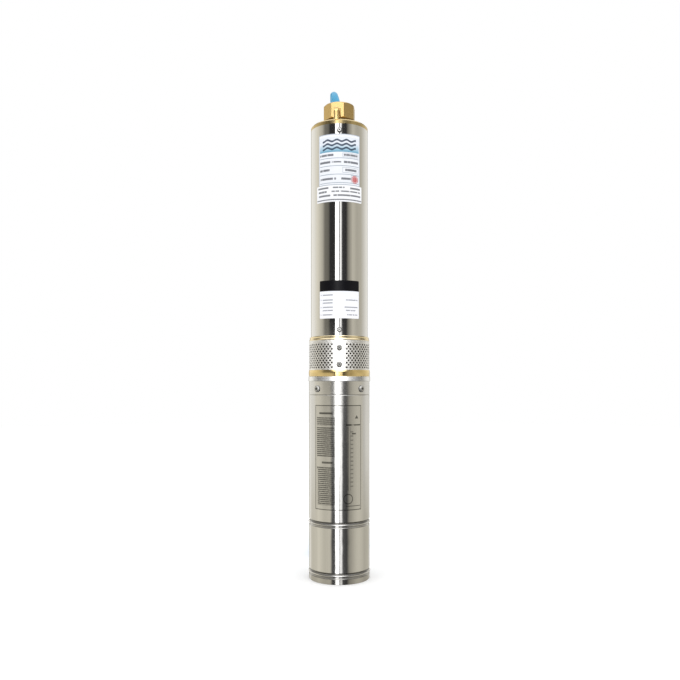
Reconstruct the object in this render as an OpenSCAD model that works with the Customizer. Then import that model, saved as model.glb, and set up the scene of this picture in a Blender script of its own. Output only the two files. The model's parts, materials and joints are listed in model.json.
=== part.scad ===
// Borehole submersible pump: screw pump above, oil-filled motor below, cable out of the head.
// Millimetres. The part stands on z = 0, its axis is Z and its front faces -Y.

/* [Motor] */
// Outside diameter of the motor barrel
motor_od = 96; // [92:1:110]
// Sheet thickness of the motor barrel
motor_wall = 1.2; // [0.8:0.1:2]
// Height of the motor barrel's upper edge
motor_len = 311; // [295:1:380]
// Height of the lower rolled bead
bead_low_z = 13; // [11:0.5:16]
// Height of the upper rolled bead
bead_high_z = 90.5; // [84:0.5:106]
// Depth of the grooves rolled each side of a bead
groove_depth = 1.4; // [0.8:0.1:1.6]
// How far a bead stands out from the barrel
bead_proud = 1.2; // [0.4:0.1:1.6]
// Length of the laminated core
core_len = 100; // [60:5:120]
// Diameter of the squirrel-cage rotor
rotor_core_d = 49; // [40:1:54]
// Gap between rotor and core
air_gap = 0.5; // [0.4:0.05:1]
// Number of winding slots
slot_count = 24; // [12:6:24]
// Diameter of the shaft in its bearings
shaft_d = 17; // [15:1:18]
// Diameter of the four cover screws' heads
cover_screw_head_d = 10.5; // [8:0.5:12]

/* [Bearings] */
// Outside diameter of both ball bearings
bearing_od = 40; // [38:1:44]
// Width of both ball bearings
bearing_w = 12; // [12:1:15]
// Ball diameter
ball_d = 6.75; // [6:0.25:7]
// Balls in each bearing
ball_count = 8; // [7:1:8]

/* [Intake] */
// Height of the motor cover's bright rim
cover_rim_h = 8; // [6:0.5:12]
// How far the motor cover's bright rim stands out from the barrel
cover_rim_out = 1; // [0.5:0.5:8]
// Height of the lower brass ring
intake_ring_h = 9.5; // [9:0.5:14]
// Diameter of the lower brass ring
intake_ring_od = 97; // [96.5:0.5:104]
// Height of the perforated strainer
strainer_len = 46; // [44:1:60]
// Outside diameter of the strainer
strainer_od = 95.4; // [94:0.1:96]
// Sheet thickness of the strainer
strainer_t = 0.8; // [0.6:0.1:1.2]
// Diameter of a strainer hole
hole_d = 2.9; // [2:0.1:3.1]
// Strainer holes round one row, blank strip included
hole_columns = 52; // [40:1:54]
// Rows of strainer holes
hole_rows = 11; // [8:1:11]
// Height from one row of holes to the next
hole_row_gap = 3.5; // [3:0.1:3.6]
// Half the angle of the blank strip under the strainer screws
blank_half_angle = 12; // [10:1:16]
// Height of the upper brass ring
intake_collar_h = 6.5; // [6:0.5:12]

/* [Pump barrel] */
// Outside diameter of the pump barrel
pump_od = 90; // [88:0.5:94]
// Sheet thickness of the pump barrel
pump_wall = 1.2; // [0.8:0.1:2]
// Length of the pump barrel
barrel_len = 324.5; // [312:0.5:400]
// Diameter of a barrel screw's head
barrel_screw_head_d = 8; // [7:0.5:10]

/* [Screw pump] */
// Outside diameter of the stator's steel tube
stator_od = 50; // [46:0.5:51]
// Wall of the stator's steel tube
stator_wall = 2; // [1.5:0.1:3]
// Diameter of the screw rotor's round section
screw_d = 16; // [14:0.5:17]
// Distance of the rotor's axis from the pump's axis
eccentricity = 2.5; // [2:0.1:3]
// Pitch of the screw rotor
rotor_pitch = 30; // [28:1:32]
// Stator pitches in the rubber
stages = 4; // [3:1:4]
// Free gap between rotor and rubber
screw_gap = 0.5; // [0.4:0.05:0.8]
// Diameter of the drive rod's slim middle
rod_d = 8; // [6:0.5:9]

/* [Discharge head] */
// Height of the head's round rim
head_rim_h = 7.5; // [5:0.5:10]
// Height of the round neck under the collar
neck_h = 9; // [6:0.5:12]
// Diameter of the round neck
neck_d = 45; // [43:0.5:46]
// Height of the eight-sided collar
collar_h = 25; // [22:0.5:34]
// Width of the collar across its flats
collar_af = 47; // [46:0.5:52]
// Turn of the collar and lug about the axis
head_turn = -7; // [-12:1:12]
// Core diameter of the outlet thread
outlet_d = 39; // [36:0.5:40]
// Length of the outlet thread
thread_len = 30; // [22:1:31]
// Thickness of the rope lug
lug_t = 8; // [6:0.5:10]
// Height of the rope lug
lug_h = 22; // [20:0.5:26]
// Diameter of the rope lug's eye
lug_eye_d = 10; // [8:0.5:11]

/* [Cable] */
// Diameter of the round supply cable
cable_d = 12.5; // [11:0.1:12.5]
// Distance of the cable from the axis inside the pump
cable_ring_r = 35; // [34.9:0.1:35.2]
// Height of the gland's tapered sleeve above the rim
gland_h = 20; // [18:1:30]

/* [Fits] */
// Gap left round pieces that seat in each other
fit = 0.05; // [0.03:0.01:0.1]
// Gap left round pieces that turn in each other
run = 0.06; // [0.05:0.01:0.1]

/* [Hidden] */
$fn = 96;
cut = 1;
front = -90;
motor_r = motor_od / 2;
motor_bore_r = motor_r - motor_wall;
pump_r = pump_od / 2;
pump_bore_r = pump_r - pump_wall;
shaft_r = shaft_d / 2;
stator_r = stator_od / 2;
cable_r = cable_d / 2;
strainer_r = strainer_od / 2;

// Rolled grooves: radius of the rolling wheel and spacing of a pair.
groove_r = 2;
groove_gap = 6;
beads = [bead_low_z, bead_high_z];
groove_zs = [for (z = beads, s = [-1, 1]) z + s * groove_gap / 2];
foot_gap = 0.5;

// Heights up the part.
cover_over_bead = 13;
housing_under_bead = 12;
housing_over_bead = 16;
bottom_cover_h = bead_low_z + cover_over_bead;
housing_z0 = bead_high_z - housing_under_bead;
housing_z1 = bead_high_z + housing_over_bead;
low_bearing_z = housing_z1 - bearing_w;
cover_spigot = 26;
cover_z0 = motor_len - cover_spigot;
cover_screw_under = 11.6;
cover_oring_under = 21;
cover_screw_z = motor_len - cover_screw_under;
cover_oring_z = motor_len - cover_oring_under;
up_bearing_z = cover_z0;
seal_floor_z = up_bearing_z + bearing_w + 4;
core_mid = (housing_z1 + cover_z0) / 2;
core_z0 = core_mid - core_len / 2;
core_z1 = core_mid + core_len / 2;
intake_z = motor_len + cover_rim_h;
strainer_z = intake_z + intake_ring_h;
collar_z = strainer_z + strainer_len;
barrel_z = collar_z + intake_collar_h;
barrel_top = barrel_z + barrel_len;
rim_top = barrel_top + head_rim_h;
neck_top = rim_top + neck_h;
head_top = neck_top + collar_h;
shoulder_h = 3.5;
rim_chamfer = 2.5;
spigot_h = 20;
barrel_screw_dz = 9;
ring_screw_dz = 10.5;

// Screw pump: the stator's pitch is twice the rotor's.
stator_pitch = 2 * rotor_pitch;
screw_r = screw_d / 2;
tube_z0 = collar_z + 4;
tube_z1 = barrel_top - 14;
rubber_z1 = tube_z1 - 1;
rubber_z0 = rubber_z1 - stages * stator_pitch;
rubber_r = stator_r - stator_wall - fit;
screw_z0 = rubber_z0 - 2;
screw_z1 = rubber_z1 + 3;
shank_z0 = screw_z0 - 20;
shank_r = screw_r + eccentricity;
rod_end_r = 5;
shaft_top = intake_z + 34;
coupling_z0 = shaft_top - 14;
coupling_z1 = shaft_top + 20;
coupling_r = 13;
rod_foot = coupling_z1 + 2;
rod_head = shank_z0 - 3;

// Bearing rings.
race_mid_r = (bearing_od + shaft_d) / 4;
race_r = ball_d / 2 + run;
inner_shoulder_r = race_mid_r - 2;
outer_shoulder_r = race_mid_r + 2.25;
bearing_zs = [low_bearing_z, up_bearing_z];

// Mechanical seal on the shaft.
seal_collar_z0 = seal_floor_z + 1.5;
seal_collar_h = 4;
seal_ring_z0 = intake_z - 6;
seal_seat_h = 6;
seal_seat_r = 14;
seal_ring_r = 13;
chamber_r = 17;
spring_wire_r = 0.9;
spring_turns = 3;

// Winding slots.
core_bore_r = rotor_core_d / 2 + air_gap;
slot_r0 = core_bore_r + 2;
slot_r1 = slot_r0 + 11;
slot_w = 4;
end_turn_h = 22;

// Strainer pattern.
hole_z0 = strainer_z + (strainer_len - (hole_rows - 1) * hole_row_gap) / 2 - 1.5;
hole_step = 360 / hole_columns;
strainer_screw_zs = [strainer_z + 8.5, strainer_z + 34];

// Oil compensator in the motor's foot: clamp ring, its screws, the diaphragm's flange and dome.
clamp_r = motor_bore_r - 2.3;
clamp_h = 5.5;
clamp_screw_r = clamp_r - 4.2;
flange_r = clamp_r - 6.5;
flange_t = 2.5;
clamp_in_r = clamp_r - 14.5;
dome_r = clamp_in_r - 1;
dome_h = 32;
dome_t = 2;
oil_hole_r = 6;
oil_ring_r = (bearing_od / 2 + motor_bore_r) / 2;
window_half_angle = 31;
ring_crown = 28;

// Small screws.
m5_r = 2.5;
m6_r = 3;
m4_r = 2;

// Route of the cable's free length, chosen by hand, from the gland's sleeve down to the floor.
cable_route = [
  [0, 35, 733], [0, 35, 745], [-5, 41, 770], [-8.5, 58, 788], [-9.5, 84, 795],
  [-9, 110, 788], [-9, 128.5, 770], [-10, 135, 745], [-13, 135, 705], [-17, 134, 660],
  [-21, 133, 610], [-24, 132, 560], [-27, 131, 510], [-30, 130, 460], [-32, 130, 410],
  [-34, 130, 360], [-36, 130, 310], [-38, 130, 260], [-40, 130, 210], [-42, 130, 160],
  [-43, 130, 110], [-44, 131, 80], [-44, 133, 50], [-44, 140, 28], [-44, 156, 13],
  [-44, 182, 7], [-44, 210, 6.3]
];
// Hank on the floor: half its width and the two ends of its straight runs.
hank_half = 44;
hank_y0 = 215;
hank_y1 = 310;
tie_y = 262;
tie_w = 8;
tie_t = 1.6;

// Solid cylinder on the axis between two heights.
module rod(r, z0, z1) {
  translate([0, 0, z0])
    cylinder(h = z1 - z0, r = r);
}

// Tube on the axis between two heights.
module tube(r_out, r_in, z0, z1) {
  difference() {
    rod(r_out, z0, z1);
    rod(r_in, z0 - cut, z1 + cut);
  }
}

// Places a piece drawn along Z so that it points outward at an angle and height.
module radial(angle, z) {
  rotate([0, 0, angle])
    translate([0, 0, z])
      rotate([0, 90, 0])
        children();
}

// Places a piece where the cable runs up inside the pump.
module at_cable() {
  translate([0, cable_ring_r, 0])
    children();
}

// Ring of round section on the axis.
module oring(mid_r, section_r, z) {
  rotate_extrude()
    translate([mid_r, z])
      circle(r = section_r, $fn = 32);
}

// Headed screw drawn along Z, its head seated at seat_r.
module screw(seat_r, head_d, head_h, shank_r, shank_len, sides) {
  difference() {
    union() {
      translate([0, 0, seat_r - shank_len])
        cylinder(h = shank_len + head_h / 4, r = shank_r, $fn = 32);
      translate([0, 0, seat_r])
        cylinder(h = head_h * 0.45, d = head_d, $fn = 48);
      translate([0, 0, seat_r + head_h * 0.45])
        cylinder(h = head_h * 0.55, d1 = head_d, d2 = head_d * 0.66, $fn = 48);
    }
    if (sides == 6) {
      translate([0, 0, seat_r + head_h * 0.3])
        cylinder(h = head_h, d = head_d * 0.4, $fn = 6);
    } else {
      for (a = [45, 135])
        rotate([0, 0, a])
          translate([-head_d * 0.26, -head_d * 0.05, seat_r + head_h * 0.4])
            cube([head_d * 0.52, head_d * 0.1, head_h]);
    }
  }
}

// Round section swept along a list of points; ref is never parallel to the path.
function unit(v) = v / norm(v);
function tangent(p, i) = unit(p[min(i + 1, len(p) - 1)] - p[max(i - 1, 0)]);
function side_of(t, ref) = unit(ref - (ref * t) * t);
function ring_points(c, t, ref, r, n) = [
  for (k = [0:n - 1])
    let (u = side_of(t, ref), v = cross(t, u), a = 360 * k / n)
      c + r * (cos(a) * u + sin(a) * v)
];
module sweep(path, r, n, ref) {
  rings = [for (i = [0:len(path) - 1]) ring_points(path[i], tangent(path, i), ref, r, n)];
  points = [for (ring = rings, p = ring) p];
  last = (len(path) - 1) * n;
  sides_a = [for (i = [0:len(path) - 2], k = [0:n - 1])
    [i * n + k, (i + 1) * n + k, (i + 1) * n + (k + 1) % n]];
  sides_b = [for (i = [0:len(path) - 2], k = [0:n - 1])
    [i * n + k, (i + 1) * n + (k + 1) % n, i * n + (k + 1) % n]];
  foot = [[for (k = [0:n - 1]) k]];
  head = [[for (k = [0:n - 1]) last + n - 1 - k]];
  polyhedron(points = points, faces = concat(sides_a, sides_b, foot, head));
}

// Discs of the grooves rolled into the motor barrel, in section.
module groove_discs(extra) {
  for (z = groove_zs)
    translate([motor_r + groove_r - groove_depth, z])
      circle(r = groove_r + extra, $fn = 48);
}

// Cutter for the space behind the grooves in a piece that the barrel grips.
module grip_cut() {
  rotate_extrude()
    groove_discs(motor_wall + fit);
}

module discharge_head() {
  spigot_r = pump_bore_r - fit;
  hub_r = stator_r + 3;
  color("goldenrod")
    difference() {
      union() {
        rotate_extrude()
          polygon([
            [10, barrel_top - 6], [spigot_r - 8, barrel_top - 6], [spigot_r - 8, barrel_top - spigot_h],
            [spigot_r - 1, barrel_top - spigot_h], [spigot_r, barrel_top - spigot_h + 1],
            [spigot_r, barrel_top], [pump_r, barrel_top], [pump_r, rim_top - rim_chamfer],
            [pump_r - rim_chamfer, rim_top], [10, rim_top]
          ]);
        rod(hub_r, tube_z1 - 14, barrel_top - 5);
        rod(neck_d / 2, rim_top - 1, neck_top + 1);
        rotate([0, 0, head_turn])
          intersection() {
            translate([0, 0, neck_top])
              rotate([0, 0, 22.5])
                cylinder(h = collar_h, r = collar_af / 2 / cos(22.5), $fn = 8);
            rotate_extrude()
              polygon([
                [0, neck_top], [collar_af / 2 - 0.4, neck_top], [collar_af / 2 + 2.4, neck_top + 2.8],
                [collar_af / 2 + 2.4, head_top - 2.8], [collar_af / 2 - 0.4, head_top], [0, head_top]
              ]);
          }
        rotate([0, 0, head_turn])
          rope_lug();
      }
      rod(outlet_d / 2, head_top - thread_len, head_top + cut);
      rod(outlet_d / 2 - 2.5, tube_z1 - cut, head_top);
      rod(stator_r + fit, tube_z1 - 15, tube_z1);
      translate([0, 0, head_top - 1.2])
        cylinder(h = 1.2 + cut, r1 = outlet_d / 2, r2 = outlet_d / 2 + 1.2 + cut);
      oring_groove_in(stator_r, tube_z1 - 7);
      at_cable()
        rod(cable_r + 1.4, barrel_top - spigot_h - cut, rim_top + cut);
      for (a = [0, 120, 240])
        radial(front + a, barrel_top - ring_screw_dz)
          translate([0, 0, spigot_r - 7])
            cylinder(h = 7 + cut, r = m5_r + fit, $fn = 32);
      rotate([0, 0, head_turn])
        radial(front, rim_top + lug_h / 2 + 1.5)
          translate([0, 0, lug_mid_r()])
            rotate([90, 0, 0])
              translate([0, 0, -lug_t])
                cylinder(h = 2 * lug_t, d = lug_eye_d, $fn = 48);
    }
}
function lug_mid_r() = collar_af / 2 + 8.5;
module rope_lug() {
  top_r = 8.5;
  in_r = neck_d / 2 - 3;
  out_r = lug_mid_r() + top_r;
  edge_r = lug_t * 0.3;
  rotate([0, 0, front])
    intersection() {
      rotate([90, 0, 0])
        translate([0, 0, -lug_t / 2])
          linear_extrude(height = lug_t)
            union() {
              translate([in_r, rim_top - 1])
                square([out_r - in_r, lug_h - top_r + 1]);
              translate([in_r, rim_top])
                square([lug_mid_r() - in_r, lug_h]);
              translate([lug_mid_r(), rim_top + lug_h - top_r])
                circle(r = top_r, $fn = 64);
            }
      translate([0, 0, rim_top - 2])
        linear_extrude(height = lug_h + 4)
          union() {
            translate([in_r - 1, -lug_t / 2])
              square([out_r - edge_r - in_r + 1, lug_t]);
            translate([out_r - edge_r - cut, edge_r - lug_t / 2])
              square([edge_r + cut, lug_t - 2 * edge_r]);
            for (s = [-1, 1])
              translate([out_r - edge_r, s * (lug_t / 2 - edge_r)])
                circle(r = edge_r, $fn = 32);
          }
      rotate([90, 0, 90])
        translate([0, 0, in_r - 2])
          linear_extrude(height = out_r)
            union() {
              translate([-lug_t / 2, rim_top - 2])
                square([lug_t, lug_h + 2 - lug_t / 2]);
              translate([0, rim_top + lug_h - lug_t / 2])
                circle(d = lug_t, $fn = 48);
            }
    }
}
// Groove for a sealing ring in a bore.
module oring_groove_in(r, z) {
  tube(r + 2, r - cut, z - 1.5, z + 1.5);
}
// Groove for a sealing ring round a spigot.
module oring_groove_out(r, z) {
  tube(r + cut, r - 2, z - 1.5, z + 1.5);
}

module cable_gland() {
  color("black")
    at_cable()
      rotate_extrude()
        polygon([
          [cable_r + fit, barrel_top - 5], [cable_r + 1.35, barrel_top - 5], [cable_r + 1.35, rim_top],
          [cable_r + 2.1, rim_top], [cable_r + 2.1, rim_top + 4], [cable_r + 0.9, rim_top + gland_h],
          [cable_r + fit, rim_top + gland_h]
        ]);
}

module pump_barrel() {
  color("silver")
    difference() {
      tube(pump_r, pump_bore_r, barrel_z, barrel_top);
      for (a = [0, 120, 240], z = [barrel_z + barrel_screw_dz, barrel_top - ring_screw_dz])
        radial(front + a, z)
          translate([0, 0, pump_r - 5])
            cylinder(h = 10, r = m5_r + 2 * fit, $fn = 32);
    }
}
module barrel_screws(z) {
  color("gainsboro")
    for (a = [0, 120, 240])
      radial(front + a, z)
        screw(pump_r, barrel_screw_head_d, 2.4, m5_r, 6.5, 4);
}
module upper_barrel_screws() {
  barrel_screws(barrel_top - ring_screw_dz);
}
module lower_barrel_screws() {
  barrel_screws(barrel_z + barrel_screw_dz);
}

module stator_tube() {
  color("slategray")
    tube(stator_r, stator_r - stator_wall, tube_z0, tube_z1);
}
module stator_rubber() {
  turns = stages;
  color("dimgray")
    difference() {
      rod(rubber_r, rubber_z0, rubber_z1);
      translate([0, 0, rubber_z0 - stator_pitch / 2])
        linear_extrude(height = (turns + 1) * stator_pitch, twist = -360 * (turns + 1),
                       slices = 22 * (turns + 1), $fn = 18)
          rotate([0, 0, 180 * (rubber_z0 - stator_pitch / 2 - screw_z0) / rotor_pitch])
            hull()
              for (s = [-1, 1])
                translate([2 * eccentricity * s, 0])
                  circle(r = screw_r + screw_gap);
    }
}
module stator_oring() {
  color("black")
    oring(stator_r + 1 + fit, 0.95, tube_z1 - 7);
}

module intake_body() {
  seat_r = strainer_r - strainer_t - fit;
  spigot_r = pump_bore_r - fit;
  ring_r = intake_ring_od / 2;
  color("goldenrod")
    difference() {
      union() {
        rotate_extrude()
          union() {
            translate([shaft_r + 1, intake_z])
              square([ring_r - shaft_r - 2.6, intake_ring_h]);
            intersection() {
              translate([ring_r - ring_crown, intake_z + intake_ring_h / 2])
                circle(r = ring_crown);
              translate([ring_r - 8, intake_z])
                square([9, intake_ring_h]);
            }
            translate([seat_r - 5, intake_z + 1])
              square([5, barrel_z - intake_z - 2]);
            polygon([
              [stator_r - stator_wall, collar_z], [strainer_r, collar_z], [strainer_r, collar_z + 1],
              [pump_r + 0.3, barrel_z], [stator_r - stator_wall, barrel_z]
            ]);
            translate([spigot_r - 8, barrel_z - 1])
              square([8, spigot_h + 1]);
          }
      }
      for (a = [60, 180, 300])
        rotate([0, 0, front + a])
          translate([0, 0, strainer_z + shoulder_h])
            linear_extrude(height = strainer_len - 2 * shoulder_h)
              polygon([[0, 0], [motor_od, -motor_od * tan(window_half_angle)],
                       [motor_od, motor_od * tan(window_half_angle)]]);
      rod(seal_seat_r + fit, intake_z - cut, intake_z + seal_seat_h);
      rod(stator_r + fit, tube_z0, barrel_z + cut);
      at_cable()
        rod(cable_r + fit, intake_z - cut, barrel_z + spigot_h + cut);
      for (a = [0, 120, 240])
        radial(front + a, barrel_z + barrel_screw_dz)
          translate([0, 0, spigot_r - 7])
            cylinder(h = 7 + cut, r = m5_r + fit, $fn = 32);
      for (z = strainer_screw_zs)
        radial(front, z)
          translate([0, 0, seat_r - 6])
            cylinder(h = 6 + cut, r = m5_r + fit, $fn = 32);
    }
}

module strainer() {
  color("silver")
    difference() {
      tube(strainer_r, strainer_r - strainer_t, strainer_z, collar_z);
      for (k = [0:hole_rows - 1], j = [0:hole_columns - 1])
        let (a = (j + (k % 2) / 2) * hole_step)
          if (a > blank_half_angle && a < 360 - blank_half_angle)
            radial(front + a, hole_z0 + k * hole_row_gap)
              translate([0, 0, strainer_r - 3])
                cylinder(h = 6, d = hole_d, $fn = 16);
      for (z = strainer_screw_zs)
        radial(front, z)
          translate([0, 0, strainer_r - 4])
            cylinder(h = 8, r = m5_r + 2 * fit, $fn = 32);
    }
}
module strainer_screws() {
  color("gainsboro")
    for (z = strainer_screw_zs)
      radial(front, z)
        screw(strainer_r, barrel_screw_head_d, 2.2, m5_r, 5.5, 4);
}

module motor_top_cover() {
  spigot_r = motor_bore_r - fit;
  rim_r = motor_r + cover_rim_out;
  color("lightgray")
    difference() {
      rotate_extrude()
        polygon([
          [shaft_r + 1, cover_z0], [spigot_r - 1, cover_z0], [spigot_r, cover_z0 + 1],
          [spigot_r, motor_len], [rim_r - 0.8, motor_len], [rim_r, motor_len + 0.8],
          [rim_r, intake_z - 0.8], [rim_r - 0.8, intake_z], [shaft_r + 1, intake_z]
        ]);
      rod(bearing_od / 2 + fit, cover_z0 - cut, cover_z0 + bearing_w);
      rod(chamber_r, seal_floor_z, intake_z + cut);
      oring_groove_out(spigot_r, cover_oring_z);
      at_cable()
        rod(cable_r + fit, cover_z0 - cut, intake_z + cut);
      at_cable()
        rod(cable_r + 1.5 + fit, intake_z - 12, intake_z + cut);
      for (a = [45:90:315])
        radial(a, cover_screw_z)
          translate([0, 0, spigot_r - 10])
            cylinder(h = 10 + cut, r = m6_r + fit, $fn = 32);
    }
}
module motor_cover_screws() {
  color("gainsboro")
    for (a = [45:90:315])
      radial(a, cover_screw_z)
        screw(motor_r, cover_screw_head_d, 2.6, m6_r, 10, 6);
}
module top_cover_oring() {
  color("black")
    oring(motor_bore_r - 1 - fit, 0.9, cover_oring_z);
}
module cable_entry_seal() {
  color("black")
    at_cable()
      tube(cable_r + 1.5, cable_r + fit, intake_z - 12, intake_z);
}
module inner_cable() {
  color("royalblue")
    at_cable()
      rod(cable_r, cover_z0 + 2, rim_top + gland_h);
}

module motor_barrel() {
  color("silver")
    difference() {
      rotate_extrude()
        difference() {
          union() {
            translate([motor_bore_r, foot_gap])
              square([motor_wall, motor_len - foot_gap]);
            intersection() {
              groove_discs(motor_wall);
              translate([motor_r - 10, foot_gap])
                square([10, motor_len - foot_gap]);
            }
            for (z = beads)
              intersection() {
                translate([motor_r - 1.8 + bead_proud, z])
                  circle(r = 1.8, $fn = 48);
                translate([motor_bore_r, z - 3])
                  square([6, 6]);
              }
          }
          groove_discs(0);
          translate([motor_r + 1.15, cover_oring_z])
            circle(r = 1.4, $fn = 48);
        }
      for (a = [45:90:315])
        radial(a, cover_screw_z)
          translate([0, 0, motor_r - 5])
            cylinder(h = 10, r = m6_r + 2 * fit, $fn = 32);
    }
}

module slot_shape(extra) {
  translate([slot_r0 - extra, -slot_w / 2 - extra])
    square([slot_r1 - slot_r0 + 2 * extra, slot_w + 2 * extra]);
}
module stator_core() {
  color("dimgray")
    translate([0, 0, core_z0])
      linear_extrude(height = core_len)
        difference() {
          circle(r = motor_bore_r - fit);
          circle(r = core_bore_r);
          for (k = [0:slot_count - 1])
            rotate(k * 360 / slot_count)
              union() {
                slot_shape(0.2);
                translate([core_bore_r - cut, -0.75])
                  square([4, 1.5]);
              }
        }
}
module stator_winding() {
  color("peru")
    union() {
      tube(slot_r1 + 1, slot_r0 - 0.5, core_z0 - end_turn_h, core_z0 - 0.2);
      tube(slot_r1 + 1, slot_r0 - 0.5, core_z1 + 0.2, core_z1 + end_turn_h);
      for (k = [0:slot_count - 1])
        rotate([0, 0, k * 360 / slot_count])
          translate([slot_r0, -slot_w / 2, core_z0 - 2])
            cube([slot_r1 - slot_r0, slot_w, core_len + 4]);
    }
}
module lead_wires() {
  color("firebrick")
    for (x = [-3, 0, 3])
      translate([x, cable_ring_r, 0])
        rod(1.2, core_z1 + end_turn_h, cover_z0 + 2);
}

module bearing_outer(z) {
  color("lightsteelblue")
    difference() {
      tube(bearing_od / 2, outer_shoulder_r, z, z + bearing_w);
      oring(race_mid_r, race_r, z + bearing_w / 2);
    }
}
module bearing_inner(z) {
  color("lightsteelblue")
    difference() {
      tube(inner_shoulder_r, shaft_r + fit, z, z + bearing_w);
      oring(race_mid_r, race_r, z + bearing_w / 2);
    }
}
module bearing_ball_places(z) {
  for (k = [0:ball_count - 1])
    rotate([0, 0, k * 360 / ball_count])
      translate([race_mid_r, 0, z + bearing_w / 2])
        children();
}
module bearing_balls(z) {
  color("whitesmoke")
    bearing_ball_places(z)
      sphere(d = ball_d, $fn = 32);
}
module bearing_cage(z) {
  mid = z + bearing_w / 2;
  color("darkgoldenrod")
    difference() {
      tube(race_mid_r + 1, race_mid_r - 1, mid - ball_d / 2 - 1.1, mid + ball_d / 2 + 1.1);
      bearing_ball_places(z)
        sphere(d = ball_d + 4 * run, $fn = 32);
    }
}
module upper_bearing_outer() {
  bearing_outer(up_bearing_z);
}
module lower_bearing_outer() {
  bearing_outer(low_bearing_z);
}
module upper_bearing_inner() {
  bearing_inner(up_bearing_z);
}
module lower_bearing_inner() {
  bearing_inner(low_bearing_z);
}
module upper_bearing_balls() {
  bearing_balls(up_bearing_z);
}
module lower_bearing_balls() {
  bearing_balls(low_bearing_z);
}
module upper_bearing_cage() {
  bearing_cage(up_bearing_z);
}
module lower_bearing_cage() {
  bearing_cage(low_bearing_z);
}

module lower_bearing_housing() {
  spigot_r = motor_bore_r - fit;
  color("gray")
    difference() {
      rod(spigot_r, housing_z0, housing_z1);
      rod(bearing_od / 2 + fit, low_bearing_z, housing_z1 + cut);
      rod(shaft_r + 2, housing_z0 - cut, housing_z1);
      grip_cut();
      oring_groove_out(spigot_r, housing_z1 - 5);
      for (a = [0:60:300])
        rotate([0, 0, a])
          translate([oil_ring_r, 0, 0])
            rod(oil_hole_r, housing_z0 - cut, housing_z1 + cut);
    }
}
module lower_housing_oring() {
  color("black")
    oring(motor_bore_r - 1 - fit, 0.9, housing_z1 - 5);
}

module diaphragm() {
  z = bottom_cover_h;
  color("darkslategray")
    rotate_extrude()
      polygon([
        [0, z + dome_h], [dome_r - 9, z + dome_h - 2], [dome_r - 2, z + dome_h - 10],
        [dome_r, z + flange_t], [flange_r - fit, z + flange_t], [flange_r - fit, z],
        [dome_r - dome_t, z], [dome_r - 2 - dome_t, z + dome_h - 11],
        [dome_r - 9 - dome_t / 2, z + dome_h - 2 - dome_t], [0, z + dome_h - dome_t]
      ]);
}
module diaphragm_clamp_ring() {
  z = bottom_cover_h;
  color("lightgray")
    difference() {
      rotate_extrude()
        polygon([
          [clamp_in_r, z + flange_t], [flange_r, z + flange_t], [flange_r, z],
          [clamp_r, z], [clamp_r, z + clamp_h], [clamp_in_r, z + clamp_h]
        ]);
      clamp_holes();
    }
}
// Places a piece at each of the clamp ring's screws.
module at_clamp_screws() {
  for (a = [0:90:270])
    rotate([0, 0, a])
      translate([clamp_screw_r, 0, 0])
        children();
}
module clamp_holes() {
  at_clamp_screws()
    rod(m4_r + fit, bottom_cover_h - 8, bottom_cover_h + clamp_h + cut);
}
module diaphragm_screws() {
  color("gainsboro")
    at_clamp_screws()
      screw(bottom_cover_h + clamp_h, 7.5, 2, m4_r, 10, 4);
}
module bottom_cover() {
  spigot_r = motor_bore_r - fit;
  color("lightgray")
    difference() {
      rotate_extrude()
        polygon([
          [0, 0], [spigot_r - 1, 0], [spigot_r, 1], [spigot_r, bottom_cover_h], [0, bottom_cover_h]
        ]);
      rod(dome_r - 5, 6, bottom_cover_h + cut);
      rod(4, -cut, 7);
      grip_cut();
      oring_groove_out(spigot_r, bottom_cover_h - 3);
      clamp_holes();
    }
}
module bottom_cover_oring() {
  color("black")
    oring(motor_bore_r - 1 - fit, 0.9, bottom_cover_h - 3);
}

module motor_shaft() {
  color("gainsboro")
    union() {
      rod(shaft_r, low_bearing_z - 6, shaft_top);
      rod(shaft_r + 1.5, low_bearing_z + bearing_w, up_bearing_z);
    }
}
module rotor_core() {
  color("dimgray")
    tube(rotor_core_d / 2, shaft_r + 1.5 + fit, core_z0, core_z1);
}
module rotor_end_rings() {
  color("silver")
    for (s = [[core_z0 - 12, core_z0], [core_z1, core_z1 + 12]])
      tube(rotor_core_d / 2 - 3, shaft_r + 1.5 + fit, s[0], s[1]);
}
module seal_seat() {
  color("ivory")
    tube(seal_seat_r, shaft_r + 0.7, intake_z, intake_z + seal_seat_h);
}
module seal_collar() {
  color("silver")
    tube(seal_ring_r, shaft_r + fit, seal_collar_z0, seal_collar_z0 + seal_collar_h);
}
module seal_spring() {
  z0 = seal_collar_z0 + seal_collar_h + spring_wire_r + fit;
  z1 = seal_ring_z0 - spring_wire_r - fit;
  steps = 14 * spring_turns;
  mid_r = (shaft_r + seal_ring_r) / 2 + 0.6;
  color("silver")
    sweep([for (i = [0:steps])
      [mid_r * cos(360 * i / 14), mid_r * sin(360 * i / 14), z0 + (z1 - z0) * i / steps]],
      spring_wire_r, 8, [0, 0, 1]);
}
module seal_ring() {
  color("black")
    tube(seal_ring_r, shaft_r + fit, seal_ring_z0, intake_z - 0.1);
}
module sand_slinger() {
  z = strainer_z + 1.5;
  color("black")
    rotate_extrude()
      polygon([
        [shaft_r + fit, z], [15, z], [17, z + 2], [15, z + 3.5], [11.5, z + 8], [shaft_r + fit, z + 8]
      ]);
}
module shaft_coupling() {
  color("lightgray")
    difference() {
      rod(coupling_r, coupling_z0, coupling_z1);
      rod(shaft_r + fit, coupling_z0 - cut, shaft_top + 0.5);
      rod(rod_end_r + run, shaft_top, coupling_z1 + cut);
      for (a = [0, 180])
        radial(a, coupling_z0 + 7)
          cylinder(h = coupling_r + cut, r = m5_r + fit, $fn = 32);
    }
}
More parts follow.
